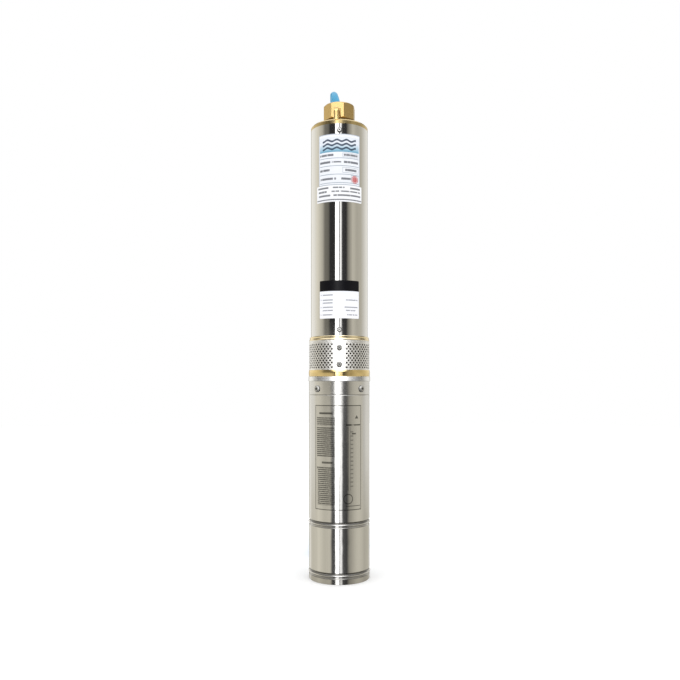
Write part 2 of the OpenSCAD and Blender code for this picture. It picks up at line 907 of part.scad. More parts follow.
module coupling_screws() {
  color("dimgray")
    for (a = [0, 180])
      radial(a, coupling_z0 + 7)
        translate([0, 0, shaft_r + fit])
          difference() {
            cylinder(h = coupling_r - shaft_r - 0.6, r = m5_r, $fn = 32);
            translate([0, 0, 2])
              cylinder(h = coupling_r, d = 2.6, $fn = 6);
          }
}

module drive_rod() {
  tilt = atan(eccentricity / (rod_head - rod_foot));
  reach = (rod_head - rod_foot) / cos(tilt);
  color("gainsboro")
    union() {
      rotate_extrude()
        polygon([
          [0, shaft_top + 1], [rod_end_r, shaft_top + 1], [rod_end_r, rod_foot],
          [rod_d / 2, rod_foot + 4], [0, rod_foot + 4]
        ]);
      translate([0, 0, rod_foot])
        rotate([0, tilt, 0])
          cylinder(h = reach, d = rod_d, $fn = 48);
      translate([eccentricity, 0, 0])
        rotate_extrude()
          polygon([
            [0, rod_head - 4], [rod_d / 2, rod_head - 4], [rod_end_r, rod_head],
            [rod_end_r, screw_z0 - 3], [0, screw_z0 - 3]
          ]);
    }
}
module helical_rotor() {
  turns = (screw_z1 - screw_z0) / rotor_pitch;
  color("whitesmoke")
    translate([eccentricity, 0, 0])
      difference() {
        union() {
          rod(shank_r, shank_z0, screw_z0);
          translate([0, 0, screw_z0])
            linear_extrude(height = screw_z1 - screw_z0, twist = -360 * turns,
                           slices = ceil(14 * turns), $fn = 18)
              translate([eccentricity, 0])
                circle(r = screw_r);
        }
        rod(rod_end_r + run, shank_z0 - cut, screw_z0 - 2);
      }
}

module cable_lead() {
  color("royalblue")
    sweep(cable_route, cable_r, 10, [1, 0, 0]);
}
module cable_hank() {
  out_r = hank_half + cable_r;
  color("royalblue")
    linear_extrude(height = cable_d)
      union() {
        for (y = [hank_y0, hank_y1])
          translate([0, y])
            circle(r = out_r);
        translate([-out_r, hank_y0])
          square([2 * out_r, hank_y1 - hank_y0]);
      }
}
module cable_tie() {
  x0 = -hank_half - cable_r - tie_t;
  w = 2 * cable_d + 2 * tie_t;
  color("black")
    translate([x0, tie_y, 0])
      difference() {
        cube([w, tie_w, cable_d + tie_t]);
        translate([tie_t, -cut, -cut])
          cube([w - 2 * tie_t, tie_w + 2 * cut, cable_d + cut]);
      }
}

discharge_head();
cable_gland();
pump_barrel();
upper_barrel_screws();
lower_barrel_screws();
stator_tube();
stator_rubber();
stator_oring();
intake_body();
strainer();
strainer_screws();
motor_top_cover();
motor_cover_screws();
top_cover_oring();
cable_entry_seal();
inner_cable();
motor_barrel();
stator_core();
stator_winding();
lead_wires();
upper_bearing_outer();
lower_bearing_outer();
lower_bearing_housing();
lower_housing_oring();
diaphragm();
diaphragm_clamp_ring();
diaphragm_screws();
bottom_cover();
bottom_cover_oring();
seal_seat();
cable_lead();
cable_hank();
cable_tie();
motor_shaft();
rotor_core();
rotor_end_rings();
upper_bearing_inner();
lower_bearing_inner();
seal_collar();
seal_spring();
seal_ring();
sand_slinger();
shaft_coupling();
coupling_screws();
upper_bearing_balls();
upper_bearing_cage();
lower_bearing_balls();
lower_bearing_cage();
drive_rod();
helical_rotor();
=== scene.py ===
import json
import math

import bmesh
import bpy
from bpy.props import FloatProperty, FloatVectorProperty, PointerProperty
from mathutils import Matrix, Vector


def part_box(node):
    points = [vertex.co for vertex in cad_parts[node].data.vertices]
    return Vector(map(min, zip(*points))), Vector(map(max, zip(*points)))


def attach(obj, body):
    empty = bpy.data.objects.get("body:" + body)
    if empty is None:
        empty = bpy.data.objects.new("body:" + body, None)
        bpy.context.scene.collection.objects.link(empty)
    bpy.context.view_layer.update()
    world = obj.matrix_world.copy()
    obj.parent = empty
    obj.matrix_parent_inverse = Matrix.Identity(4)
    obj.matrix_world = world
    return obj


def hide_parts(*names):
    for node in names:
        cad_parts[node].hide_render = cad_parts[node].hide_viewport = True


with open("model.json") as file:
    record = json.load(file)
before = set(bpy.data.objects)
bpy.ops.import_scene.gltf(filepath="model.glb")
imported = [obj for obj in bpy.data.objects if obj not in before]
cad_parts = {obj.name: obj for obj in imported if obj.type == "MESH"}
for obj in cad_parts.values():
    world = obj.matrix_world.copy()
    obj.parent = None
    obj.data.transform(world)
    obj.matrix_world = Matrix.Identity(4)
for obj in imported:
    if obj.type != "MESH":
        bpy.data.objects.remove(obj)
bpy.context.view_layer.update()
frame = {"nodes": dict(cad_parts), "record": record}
nodes = frame["nodes"]
slot_of = {part["node"]: part["material_slot"] for part in frame["record"]["subparts"]}

bl_info = {
    "name": "Borehole pump looks",
    "version": (1, 0, 0),
    "blender": (4, 5, 0),
    "location": "View3D > Sidebar > Pump",
    "description": "Dresses the packed borehole pump: finishes, stickers, outlet thread, cable and studio",
    "category": "Object",
}

MM = 0.001
BODY = "pump_body"
METAL = {"Metallic": 1.0}
BLACK_RUBBER = (0.012, 0.012, 0.013)
pump_low, pump_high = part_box("pump_barrel")
strainer_low, strainer_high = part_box("strainer")
PUMP_MIDDLE = (pump_low.z + pump_high.z) / 2
PUMP_RADIUS = pump_high.x
MOTOR_RADIUS = 0.048
STRAINER_RADIUS = strainer_high.x


# Sizes and colours that a user would change.

def number(label, text, value, **rest):
    return FloatProperty(name=label, description=text, default=value, **rest)


def length(label, text, value):
    return number(label, text, value, min=0, unit="LENGTH", precision=4)


def colour(label, text, value):
    return FloatVectorProperty(name=label, description=text, default=value,
                               subtype="COLOR", size=3, min=0, max=1)


def amount(label, text, value):
    return number(label, text, value, min=0, max=1, subtype="FACTOR")


class PumpCable(bpy.types.PropertyGroup):
    free_length: length("Free length", "Length of cable outside the gland", 1.5)
    diameter: length("Diameter", "Outside diameter of the sheath", 0.0125)
    core_diameter: length("Core diameter", "Diameter of one insulated core", 0.0034)
    sheath: colour("Sheath", "Colour of the sheath", (0.07, 0.375, 0.62))
    tie_width: length("Tie width", "Width of the tie's band", 0.0048)
    tie_thickness: length("Tie thickness", "Thickness of the tie's band", 0.0011)


class PumpFinish(bpy.types.PropertyGroup):
    steel: colour("Steel", "Colour of the stainless steel", (0.80, 0.79, 0.765))
    pump_roughness: amount("Pump barrel roughness", "Roughness of the polished pump barrel", 0.07)
    motor_roughness: amount("Motor barrel roughness", "Roughness of the satin motor barrel", 0.1)
    brass: colour("Brass", "Colour of the brass castings", (0.93, 0.72, 0.35))
    brass_roughness: amount("Brass roughness", "Roughness of the turned brass", 0.22)


class PumpStickers(bpy.types.PropertyGroup):
    plate_arc: length("Plate width", "Width of the rating plate round the barrel", 0.069)
    plate_top: length("Plate top", "Height of the rating plate's upper edge", 0.6894)
    plate_bottom: length("Plate bottom", "Height of the rating plate's lower edge", 0.6112)
    strip_arc: length("Strip width", "Width of the strip under the plate", 0.0775)
    strip_bottom: length("Strip bottom", "Height of the strip's lower edge", 0.5858)
    notice_arc: length("Notice width", "Width of the notice round the barrel", 0.0655)
    notice_top: length("Notice top", "Height of the notice's upper edge", 0.4654)
    notice_bottom: length("Notice bottom", "Height of the notice's lower edge", 0.4073)
    film: length("Film", "Thickness of the sticker film", 0.0002)


class PumpStudio(bpy.types.PropertyGroup):
    distance: length("Distance", "Distance of the camera in front of the axis", 1.139)
    height: length("Height", "Height of the camera above the floor", 0.3068)
    focal: number("Focal length", "Focal length of the camera, mm", 37.9, min=1)
    rise: number("Rise", "Upward shift of the camera's view", 0.0647)
    slide: number("Slide", "Sideways shift of the camera's view", 0.001)
    floor_size: length("Floor size", "Diameter of the floor", 9.0)
    daylight: number("Daylight", "Strength of the even studio light", 1.06, min=0)


# Node wiring.

class Wire:
    """A socket that takes part in arithmetic: an expression on values adds its Math nodes."""

    def __init__(self, tree, socket):
        self.tree = tree
        self.socket = socket

    @staticmethod
    def node(tree, kind, settings=None, sockets=None, out=0):
        """Makes a node: its settings first, then the values or links of its sockets."""
        made = tree.nodes.new(kind)
        for key, value in (settings or {}).items():
            if key == "stops":
                ramp = made.color_ramp
                while len(ramp.elements) < len(value):
                    ramp.elements.new(0.5)
                for element, (place, shade) in zip(ramp.elements, value):
                    element.position = place
                    element.color = (*shade, 1) if hasattr(shade, "__len__") else (shade, shade, shade, 1)
            else:
                setattr(made, key, value)
        for key, value in (sockets or {}).items():
            target = made.inputs[key]
            if isinstance(value, Wire):
                tree.links.new(value.socket, target)
            else:
                target.default_value = value
        return Wire(tree, made.outputs[out])

    def math(self, operation, *values):
        return Wire.node(self.tree, "ShaderNodeMath", {"operation": operation}, dict(enumerate(values)))

    def __add__(self, other):
        return self.math("ADD", self, other)

    def __radd__(self, other):
        return self.math("ADD", other, self)

    def __sub__(self, other):
        return self.math("SUBTRACT", self, other)

    def __rsub__(self, other):
        return self.math("SUBTRACT", other, self)

    def __mul__(self, other):
        return self.math("MULTIPLY", self, other)

    def __rmul__(self, other):
        return self.math("MULTIPLY", other, self)

    def __truediv__(self, other):
        return self.math("DIVIDE", self, other)

    def __rtruediv__(self, other):
        return self.math("DIVIDE", other, self)

    def __gt__(self, other):
        return self.math("GREATER_THAN", self, other)

    def __lt__(self, other):
        return self.math("LESS_THAN", self, other)

    def __abs__(self):
        return self.math("ABSOLUTE", self)

    def either(self, other):
        return self.math("MAXIMUM", self, other)

    def fract(self):
        return self.math("FRACT", self)

    def root(self):
        return self.math("SQRT", self)


def any_of(masks):
    """The largest of several masks."""
    total = masks[0]
    for mask in masks[1:]:
        total = total.either(mask)
    return total


class Wiring:
    """A node tree being wired, with the steps that finishes and the studio share."""

    def __init__(self, tree, coordinates):
        self.tree = tree
        tree.nodes.clear()
        self.place = self.node("ShaderNodeTexCoord", out=coordinates)
        split = self.node("ShaderNodeSeparateXYZ", None, {0: self.place}).socket.node
        self.x, self.y, self.z = [Wire(tree, socket) for socket in split.outputs]

    def node(self, kind, settings=None, sockets=None, out=0):
        return Wire.node(self.tree, kind, settings, sockets, out)

    def angle(self):
        """Angle round the axis in radians, zero at the front, growing to the right."""
        return self.x.math("ARCTAN2", self.x, 0 - self.y)

    def spread(self, value, low, high, to_low=0.0, to_high=1.0):
        return self.node("ShaderNodeMapRange", {"clamp": True},
                         {0: value, 1: low, 2: high, 3: to_low, 4: to_high})

    def blend(self, factor, first, second):
        """Mixes two colours, each a link or three numbers."""
        def full(shade):
            return shade if isinstance(shade, Wire) else (*shade, 1)
        return self.node("ShaderNodeMix", {"data_type": "RGBA"},
                         {0: factor, 6: full(first), 7: full(second)}, out=2)


class Finish(Wiring):
    """A material being wired."""

    def __init__(self, name):
        self.material = bpy.data.materials.new(name)
        self.material.use_nodes = True
        super().__init__(self.material.node_tree, "Object")

    def radius(self):
        """Distance from the axis."""
        return (self.x * self.x + self.y * self.y).root()

    def stretched(self, across, along):
        """Object coordinates scaled across the axis and along it."""
        return self.node("ShaderNodeVectorMath", {"operation": "MULTIPLY"},
                         {0: self.place, 1: (across, across, along)})

    def flat(self, across, up):
        """A vector of two values, for a flat pattern."""
        return self.node("ShaderNodeCombineXYZ", None, {0: across, 1: up})

    def noise(self, vector, scale=1.0, detail=3.0, rough=0.55):
        return self.node("ShaderNodeTexNoise", None,
                         {"Vector": vector, "Scale": scale, "Detail": detail, "Roughness": rough})

    def bump(self, height, strength, distance, under=None):
        sockets = {"Strength": strength, "Distance": distance, "Height": height}
        if under:
            sockets["Normal"] = under
        return self.node("ShaderNodeBump", None, sockets)

    def tipped(self, lean):
        """A normal that leans upwards all over, as on a slightly conical face."""
        return self.bump(0 - self.z * 1000, 1.0, lean * MM)

    def surface(self, constants, shade, rough=None, normal=None):
        """Adds the shader, with constants set on its sockets and links for what changes over the surface."""
        shader = self.tree.nodes.new("ShaderNodeBsdfPrincipled")
        for key, value in constants.items():
            shader.inputs[key].default_value = (*value, 1) if key.endswith("Color") else value
        for key, wire in {"Base Color": shade, "Roughness": rough, "Normal": normal}.items():
            if wire:
                self.tree.links.new(wire.socket, shader.inputs[key])
        end = self.tree.nodes.new("ShaderNodeOutputMaterial")
        self.tree.links.new(shader.outputs[0], end.inputs[0])
        return self.material


class Sheet(Finish):
    """A finish with print on it: across round the barrel, up in millimetres, and marks as masks."""

    def __init__(self, name, per_radian):
        super().__init__(name)
        self.across = self.angle() * per_radian
        self.up = self.z * 1000

    def window(self, left, right, low, high):
        inside = abs(self.across - (left + right) / 2) < (right - left) / 2
        return inside * (abs(self.up - (low + high) / 2) < (high - low) / 2)

    def windows(self, places):
        return any_of([self.window(*place) for place in places])

    def outline(self, left, right, low, high, line):
        """A thin box."""
        inside = self.window(left + line, right - line, low + line, high - line)
        return self.window(left, right, low, high) - inside

    def distance(self, across, up, scale=1.0):
        """Distance from a point, with the scale that brings across to millimetres."""
        reach = (self.across - across) * scale
        rise = self.up - up
        return (reach * reach + rise * rise).root()

    def words(self, left, right, up, height, fill, seed):
        """One row of bars that stand for small print."""
        breaks = self.noise(self.flat(self.across * 0.5 + seed, up * 0.37), detail=2) > fill
        grain = self.noise(self.flat(self.across * 3.1, self.up * 1.5), detail=1)
        row = self.window(left, right, up - height / 2, up + height / 2)
        return row * breaks * self.spread(grain, 0.35, 0.6, 1.0, 0.62)

    def rows(self, places):
        return any_of([self.words(*place) for place in places])


def dress(piece, material):
    """Puts one material on every slot of a piece."""
    if not piece.material_slots:
        piece.data.materials.append(material)
    for slot in piece.material_slots:
        slot.material = material


def shaded(tint, factor):
    return tuple(c * factor for c in tint)


# Finishes.

DULL_FOOT = (0.372, 0.41)


def barrel_steel(steel, tint, roughness, grain, ripple):
    """Drawn stainless tube: fine grain along it, faint handling marks and ripples in the thin wall."""
    lines = steel.noise(steel.stretched(grain, grain * 0.006), detail=4)
    waves = steel.noise(steel.stretched(45, 40), detail=2, rough=0.4)
    marks = steel.noise(steel.place, scale=14, detail=5, rough=0.6)
    shade = steel.blend(steel.spread(lines, 0.35, 0.7), shaded(tint, 0.965), tint)
    shade = steel.blend(steel.spread(marks, 0.55, 0.75, 0, 0.35), shade, shaded(tint, 0.95))
    rough = roughness + (lines - 0.5) * 0.03 + steel.spread(marks, 0.45, 0.75, 0, 0.025)
    return shade, rough, steel.bump(lines, 0.04, 0.00004, steel.bump(waves, 1.0, ripple))


def pump_barrel_steel(finish):
    """Polished tube, a little duller at its foot."""
    steel = Finish("polished_pump_barrel")
    shade, rough, normal = barrel_steel(steel, finish.steel, finish.pump_roughness, 900, 0.00004)
    return steel.surface(METAL, shade, rough + steel.spread(steel.z, *DULL_FOOT, 0.05, 0), normal)


# Panel printed on the motor: a window is left and right in degrees, then low and high in millimetres.

PANEL = (-50.4, 44.2, 113.6, 274.4)
PANEL_LINE = 1.3
TEXT_BLOCK = (-46, -8, 121, 256)
TEXT_GAPS = [(-60, -5, 180, 195), (-60, -44, 121, 176), (-60, -5, 240.5, 243)]
TEXT_ROW = 3.05
BARS = [
    (-40, -12, 260.4, 263.4), (-34, -12, 184.9, 187.9), (12, 23, 242.8, 245.4), (28, 42, 243.0, 245.2),
    (12, 42, 243.7, 244.7), (12, 42, 119.6, 120.7), (23.5, 32, 229.6, 231.8), (15.6, 16.8, 144, 241),
]
FAINT_BAR = (20.2, 21.0, 144, 241)
RUNGS = (20.5, 26.5, 146, 236)
RUNG_PITCH = 6.4
ARROW = (28, 39, 253.8, 259.2)
ARROW_MIDDLE = 33.6
RING_PLACE = (16.5, 131)
RING_RADIUS = 7.2
MM_PER_DEGREE = 0.84
ROLLED_BEADS = [(-180, 180, 90.5, 100), (-180, 180, 13, 24)]
BASE_EDGE = 6
GROOVE_FROM = 280
PANEL_INK = (0.17, 0.17, 0.16)
PANEL_FILM = (0.3, 0.3, 0.29)
# Tints of the painted shade at the foot, in the sunk grooves and beads, and in the shallow groove near the
# top.
FOOT_SHADE = (0.2, 0.19, 0.16)
BEAD_SHADE = (0.045, 0.042, 0.035)
GROOVE_SHADE = (0.06, 0.057, 0.05)


def motor_barrel_steel(finish):
    """Satin tube with a panel printed on its front: a frame, blocks of text bars and a line drawing, with
    painted shade at its foot, in its sunk grooves and beads, and in the shallow groove near the top.
    """
    steel = Sheet("printed_motor_barrel", math.degrees(1))
    shade, rough, normal = barrel_steel(steel, finish.steel, finish.motor_roughness, 700, 0.00025)
    turn = steel.across
    up = steel.up
    stripes = abs((up / TEXT_ROW).fract() - 0.5) < 0.34
    words = steel.noise(steel.flat(turn * 0.55, up * 0.09), scale=2.6, detail=2) > 0.38
    lines = stripes * words * steel.window(*TEXT_BLOCK) * (1 - steel.windows(TEXT_GAPS))
    rungs = (abs((up / RUNG_PITCH).fract() - 0.5) < 0.16) * steel.window(*RUNGS)
    arrow = steel.window(*ARROW) * (abs(turn - ARROW_MIDDLE) < (ARROW[3] - up) * 0.7)
    ring = abs(steel.distance(*RING_PLACE, MM_PER_DEGREE) - RING_RADIUS) < 0.65
    marks = [steel.outline(*PANEL, PANEL_LINE), lines, steel.windows(BARS), steel.window(*FAINT_BAR) * 0.5,
             rungs * 0.55, arrow, ring]
    wear = steel.noise(steel.place, scale=420, detail=2)
    ink = any_of(marks) * steel.spread(wear, 0.3, 0.5, 0.75, 0.97)
    shade = steel.blend(steel.window(*PANEL) * 0.12, shade, PANEL_FILM)
    # Painted shade: darker towards the foot, near the floor.
    shade = steel.blend(steel.spread(up, 8, 12, 0.38, 0), shade, FOOT_SHADE)
    shade = steel.blend(ink, shade, PANEL_INK)
    radius = steel.radius()
    # Painted shade where the surface sinks below the barrel's radius, strongest in the rolled beads.
    sunk = steel.spread(radius, MOTOR_RADIUS - 0.0012, MOTOR_RADIUS - 0.0001, 1, 0) * (up > BASE_EDGE)
    shade = steel.blend(sunk * (steel.windows(ROLLED_BEADS) * 0.45 + 0.35), shade, BEAD_SHADE)
    # Painted shade in the shallow groove near the top.
    groove = steel.spread(radius, MOTOR_RADIUS - 0.00025, MOTOR_RADIUS - 0.00003, 1, 0)
    shade = steel.blend(groove * (up > GROOVE_FROM) * 0.37, shade, GROOVE_SHADE)
    rough = rough + ink * 0.05 + steel.spread(up, 190, 300, 0, 0.12)
    return steel.surface(METAL, shade, rough, normal)


def strainer_sheet(finish):
    """Matt perforated sheet, with painted shade on its inner side that darkens the holes."""
    sheet = Finish("strainer_sheet")
    lines = sheet.noise(sheet.stretched(60, 2600), detail=3)
    spots = sheet.noise(sheet.place, scale=90, detail=3)
    shade = sheet.blend(sheet.spread(lines, 0.3, 0.7), shaded(finish.steel, 1.12), shaded(finish.steel, 1.2))
    # Painted shade on the sheet's inner side, seen through the holes.
    inner = sheet.radius() < STRAINER_RADIUS - 0.0004
    shade = sheet.blend(inner, shade, shaded(finish.steel, 0.12))
    rough = 0.34 + (lines - 0.5) * 0.1 + sheet.spread(spots, 0.5, 0.7, 0, 0.08)
    return sheet.surface(METAL, shade, rough, sheet.bump(lines, 0.8, 0.0003, sheet.tipped(0.25)))


def turned_metal(name, tint, roughness, ring_scale, recess=None, recess_shade=0.12, lean=0.0):
    """Metal turned on a lathe: fine rings round the axis and faint stains, with painted shade below a
    recess's radius.
    """
    metal = Finish(name)
    rings = metal.noise(metal.stretched(20, ring_scale), detail=3)
    stains = metal.noise(metal.place, scale=55, detail=4)
    shade = metal.blend(metal.spread(rings, 0.3, 0.7), shaded(tint, 0.9), tint)
    shade = metal.blend(metal.spread(stains, 0.5, 0.75, 0, 0.5), shade, shaded(tint, 0.8))
    # Painted shade below the recess's radius: a screw head's socket and flank.
    if recess:
        shade = metal.blend(metal.radius() < recess, shade, shaded(tint, recess_shade))
    rough = roughness + (rings - 0.5) * 0.12 + metal.spread(stains, 0.45, 0.75, 0, 0.06)
    under = metal.tipped(lean) if lean else None
    return metal.surface(METAL, shade, rough, metal.bump(rings, 0.06, 0.00006, under))


# Brass head: its turn, the lug and the painted shade round it, the rim, and the neck under the collar with
# its painted shade.

HEAD_TURN = math.radians(-7)
LUG_HALF = 0.004
LUG_TOP = 0.735
LUG_MIDDLE = 0.0305
LUG_REACH = 0.01
# Width and height of the painted shade round the lug.
LUG_SHADE_WIDTH = 0.0011
LUG_SHADE_HEIGHT = 0.0013
RIM_TOP = 0.713
COLLAR_FADE = (0.712, 0.724)
# Heights over which the painted shade on the neck fades in.
NECK_FADE = (0.7155, 0.7205)
NECK_TOP = 0.7232
NECK_RADIUS = 0.0246
RING_EDGE = 0.003
RING_FRONT = (0.12, 0.36)
DULL_BRASS = (0.7, 0.48, 0.17)
COLLAR_BRASS = (0.70, 0.48, 0.19)
# Tint of the painted shade round the lug and on the neck.
BRASS_SHADE = (0.16, 0.09, 0.03)
# Paler tint of the painted sheen on the upper intake ring.
BRASS_SHEEN = (0.93, 0.85, 0.66)


def head_brass(finish):
    """Cast brass with turned faces: soft grain and slightly dulled patches, with painted shade round the lug,
    on the neck and behind the strainer, and a painted sheen on the upper intake ring.
    """
    brass = Finish("cast_brass")
    z = brass.z
    radius = brass.radius()
    grain = brass.noise(brass.place, scale=900, detail=3)
    swirl = brass.noise(brass.stretched(40, 1100), detail=3)
    dull = brass.noise(brass.place, scale=45, detail=4, rough=0.6)
    shade = brass.blend(brass.spread(swirl, 0.3, 0.7), shaded(finish.brass, 0.93), finish.brass)
    shade = brass.blend(brass.spread(dull, 0.48, 0.72, 0, 0.4), shade, DULL_BRASS)
    shade = brass.blend(brass.spread(z, *COLLAR_FADE, 0, 0.8), shade, COLLAR_BRASS)
    aside = abs(brass.x * math.cos(HEAD_TURN) + brass.y * math.sin(HEAD_TURN))
    ahead = brass.x * math.sin(HEAD_TURN) - brass.y * math.cos(HEAD_TURN)
    # Painted shade in a band round the lug where it meets the collar.
    around = (aside < LUG_HALF + LUG_SHADE_WIDTH) * (z < LUG_TOP + LUG_SHADE_HEIGHT) * (z > RIM_TOP - 0.0002)
    lug = (aside < LUG_HALF + 0.0001) * (z < LUG_TOP - 0.0004)
    seam_and_lug_shade = around * (abs(ahead - LUG_MIDDLE) < LUG_REACH) * (1 - lug)
    # Painted shade on the neck under the collar.
    neck_shade = brass.spread(z, *NECK_FADE, 0, 0.8) * (z < NECK_TOP) * (radius < NECK_RADIUS)
    shade = brass.blend((seam_and_lug_shade * 0.8).either(neck_shade), shade, BRASS_SHADE)
    # Painted shade on the intake inside the strainer, seen through its holes.
    strainer_shade = (radius < STRAINER_RADIUS - 0.0007) * (z > strainer_low.z) * (z < strainer_high.z)
    shade = brass.blend(strainer_shade, shade, shaded(finish.brass, 0.04))
    rings = z < PUMP_MIDDLE
    rim = (1 - rings) * (z < RIM_TOP + 0.0005)
    shade = brass.blend(rim * 0.8, shade, shaded(finish.brass, 0.66))
    # Painted sheen: the upward-facing upper intake ring is made paler.
    upper_ring_sheen = rings * (z > strainer_high.z)
    shade = brass.blend(upper_ring_sheen * 0.5, shade, BRASS_SHEEN)
    edge = brass.spread(z, strainer_low.z - RING_EDGE, strainer_low.z, 1, 0)
    softened = brass.bump(edge * brass.spread(abs(brass.angle()), *RING_FRONT, 1, 0), 1.0, 0.001)
    rough = finish.brass_roughness + (grain - 0.5) * 0.1 + brass.spread(dull, 0.45, 0.7, 0, 0.1)
    return brass.surface(METAL, shade, rough - rings * 0.06, brass.bump(grain, 0.04, 0.00012, softened))


def soft_plastic(name, tint, roughness, scale=600, relief=0.1):
    """Rubber or plastic with a fine skin and faint dust."""
    skin = Finish(name)
    pores = skin.noise(skin.place, scale=scale, detail=3)
    dust = skin.noise(skin.place, scale=35, detail=4)
    pale = tuple(min(1.0, c * 1.25 + 0.012) for c in tint)
    shade = skin.blend(skin.spread(dust, 0.45, 0.75, 0, 0.6), tint, pale)
    rough = roughness + (pores - 0.5) * 0.12 + skin.spread(dust, 0.45, 0.7, 0, 0.08)
    return skin.surface({}, shade, rough, skin.bump(pores, relief, 0.0001))


def core_sheets(name, tint, roughness):
    """Stack of thin electrical sheets seen edge on."""
    stack = Finish(name)
    seam_and_lug_shade = abs((stack.z * 2000).fract() - 0.5) < 0.38
    tarnish = stack.noise(stack.place, scale=70, detail=4)
    shade = stack.blend(seam_and_lug_shade, shaded(tint, 0.55), tint)
    shade = stack.blend(stack.spread(tarnish, 0.45, 0.75, 0, 0.5), shade, (0.24, 0.2, 0.17))
    rough = roughness + (tarnish - 0.5) * 0.2
    return stack.surface({"Metallic": 0.9}, shade, rough, stack.bump(seam_and_lug_shade, 0.2, 0.0001))


def enamelled_copper(name, tint):
    """Varnished winding: fine wires side by side under a glossy skin."""
    wound = Finish(name)
    wires = wound.noise(wound.stretched(900, 160), detail=2)
    varnish = wound.noise(wound.place, scale=60, detail=3)
    shade = wound.blend(wound.spread(wires, 0.35, 0.65), shaded(tint, 0.6), tint)
    rough = 0.3 + (varnish - 0.5) * 0.2
    return wound.surface({"Metallic": 0.75, "Coat Weight": 0.5}, shade, rough, wound.bump(wires, 0.3, 0.0002))


# Shared modelling steps.

WELD = 0.000002
HAIR = 0.00001


def choose(*pieces):
    """Leaves edit mode and selects only these pieces, the first of them active."""
    if bpy.context.mode != "OBJECT":
        bpy.ops.object.mode_set(mode="OBJECT")
    bpy.ops.object.select_all(action="DESELECT")
    for piece in reversed(pieces):
        piece.select_set(True)
        bpy.context.view_layer.objects.active = piece


def edit(piece):
    """Opens the piece with all of it selected."""
    bpy.context.view_layer.objects.active = piece
    bpy.ops.object.mode_set(mode="EDIT")
    bpy.ops.mesh.select_all(action="SELECT")


def close():
    """Welds the open mesh, turns its faces outwards and leaves edit mode."""
    bpy.ops.mesh.select_all(action="SELECT")
    bpy.ops.mesh.remove_doubles(threshold=WELD)
    bpy.ops.mesh.normals_make_consistent(inside=False)
    bpy.ops.object.mode_set(mode="OBJECT")


def extrude(x, y, z):
    bpy.ops.mesh.extrude_region_move(TRANSFORM_OT_translate={"value": (x, y, z)})


def pick(piece, kind, test):
    """Selects, in edit mode, the vertices or faces whose middle passes a test."""
    bpy.ops.mesh.select_mode(type=kind)
    bpy.ops.mesh.select_all(action="DESELECT")
    mesh = bmesh.from_edit_mesh(piece.data)
    if kind == "VERT":
        for vert in mesh.verts:
            vert.select = bool(test(vert.co))
    else:
        for face in mesh.faces:
            face.select = bool(test(face.calc_center_median()))
    mesh.select_flush_mode()
    bmesh.update_edit_mesh(piece.data)


def apply_all(piece):
    """Applies the piece's modifiers and place, leaving its object at the origin."""
    choose(piece)
    for modifier in list(piece.modifiers):
        bpy.ops.object.modifier_apply(modifier=modifier.name)
    bpy.ops.object.transform_apply(location=True, rotation=True, scale=True)


def added(name, scale=(1, 1, 1)):
    """Names and sizes the piece that was just added."""
    piece = bpy.context.object
    piece.name = name
    piece.scale = scale
    apply_all(piece)
    return piece


def smooth(piece, degrees=40):
    choose(piece)
    bpy.ops.object.shade_smooth_by_angle(angle=math.radians(degrees))


# Supply cable: the route in millimetres, as the solids have it, then the loop on the floor.

CABLE_ROUTE = [
    (0, 35, 733), (0, 35, 745), (-5, 41, 770), (-8.5, 58, 788), (-9.5, 84, 795),
    (-9, 110, 788), (-9, 128.5, 770), (-10, 135, 745), (-13, 135, 705), (-17, 134, 660),
    (-21, 133, 610), (-24, 132, 560), (-27, 131, 510), (-30, 130, 460), (-32, 130, 410),
    (-34, 130, 360), (-36, 130, 310), (-38, 130, 260), (-40, 130, 210), (-42, 130, 160),
    (-43, 130, 110), (-44, 131, 80), (-44, 133, 50), (-44, 140, 28), (-44, 156, 13),
    (-44, 182, 7), (-44, 210, 6.3),
]
FLOOR_RUN = 6.3
LIFTED_RUN = 6.9
TIED_RUN = 7.6
TIE_Y = 266
INNER_X = -31.4
LOOP_NEAR = 215
LOOP_FAR = 310
LOOP_HALF = 44
CABLE_END = 293
ARC_STEP = 15


def half_turn(x, y, radius, first):
    """Points of half a turn on the floor, clockwise from an angle in degrees."""
    turns = [math.radians(first - degrees) for degrees in range(0, 181, ARC_STEP)]
    return [(x + radius * math.cos(turn), y + radius * math.sin(turn), FLOOR_RUN) for turn in turns]


def cable_points():
    middle = (LOOP_HALF + INNER_X) / 2
    half = (LOOP_HALF - INNER_X) / 2
    points = list(CABLE_ROUTE)
    points += [(-LOOP_HALF, 236, LIFTED_RUN), (-LOOP_HALF, TIE_Y, TIED_RUN), (-LOOP_HALF, 292, LIFTED_RUN)]
    points += half_turn(0, LOOP_FAR, LOOP_HALF, 180)
    points += [(LOOP_HALF, 278, FLOOR_RUN), (LOOP_HALF, 246, FLOOR_RUN)]
    points += half_turn(middle, LOOP_NEAR, half, 0)
    points += [(INNER_X, 238, LIFTED_RUN), (INNER_X, TIE_Y, TIED_RUN), (INNER_X, CABLE_END, LIFTED_RUN)]
    return [(x * MM, y * MM, z * MM) for x, y, z in points]


def cable_sheath(tint):
    """Blue sheath with a faint matt skin and rubbed patches."""
    sheath = Finish("blue_sheath")
    skin = sheath.noise(sheath.place, scale=500, detail=3)
    rubbed = sheath.noise(sheath.place, scale=28, detail=4)
    shade = sheath.blend(sheath.spread(rubbed, 0.4, 0.75, 0, 0.5), tint, shaded(tint, 0.84))
    rough = 0.38 + (skin - 0.5) * 0.12 + sheath.spread(rubbed, 0.45, 0.7, 0, 0.08)
    return sheath.surface({"Specular IOR Level": 0.4}, shade, rough, sheath.bump(skin, 0.1, 0.0001))


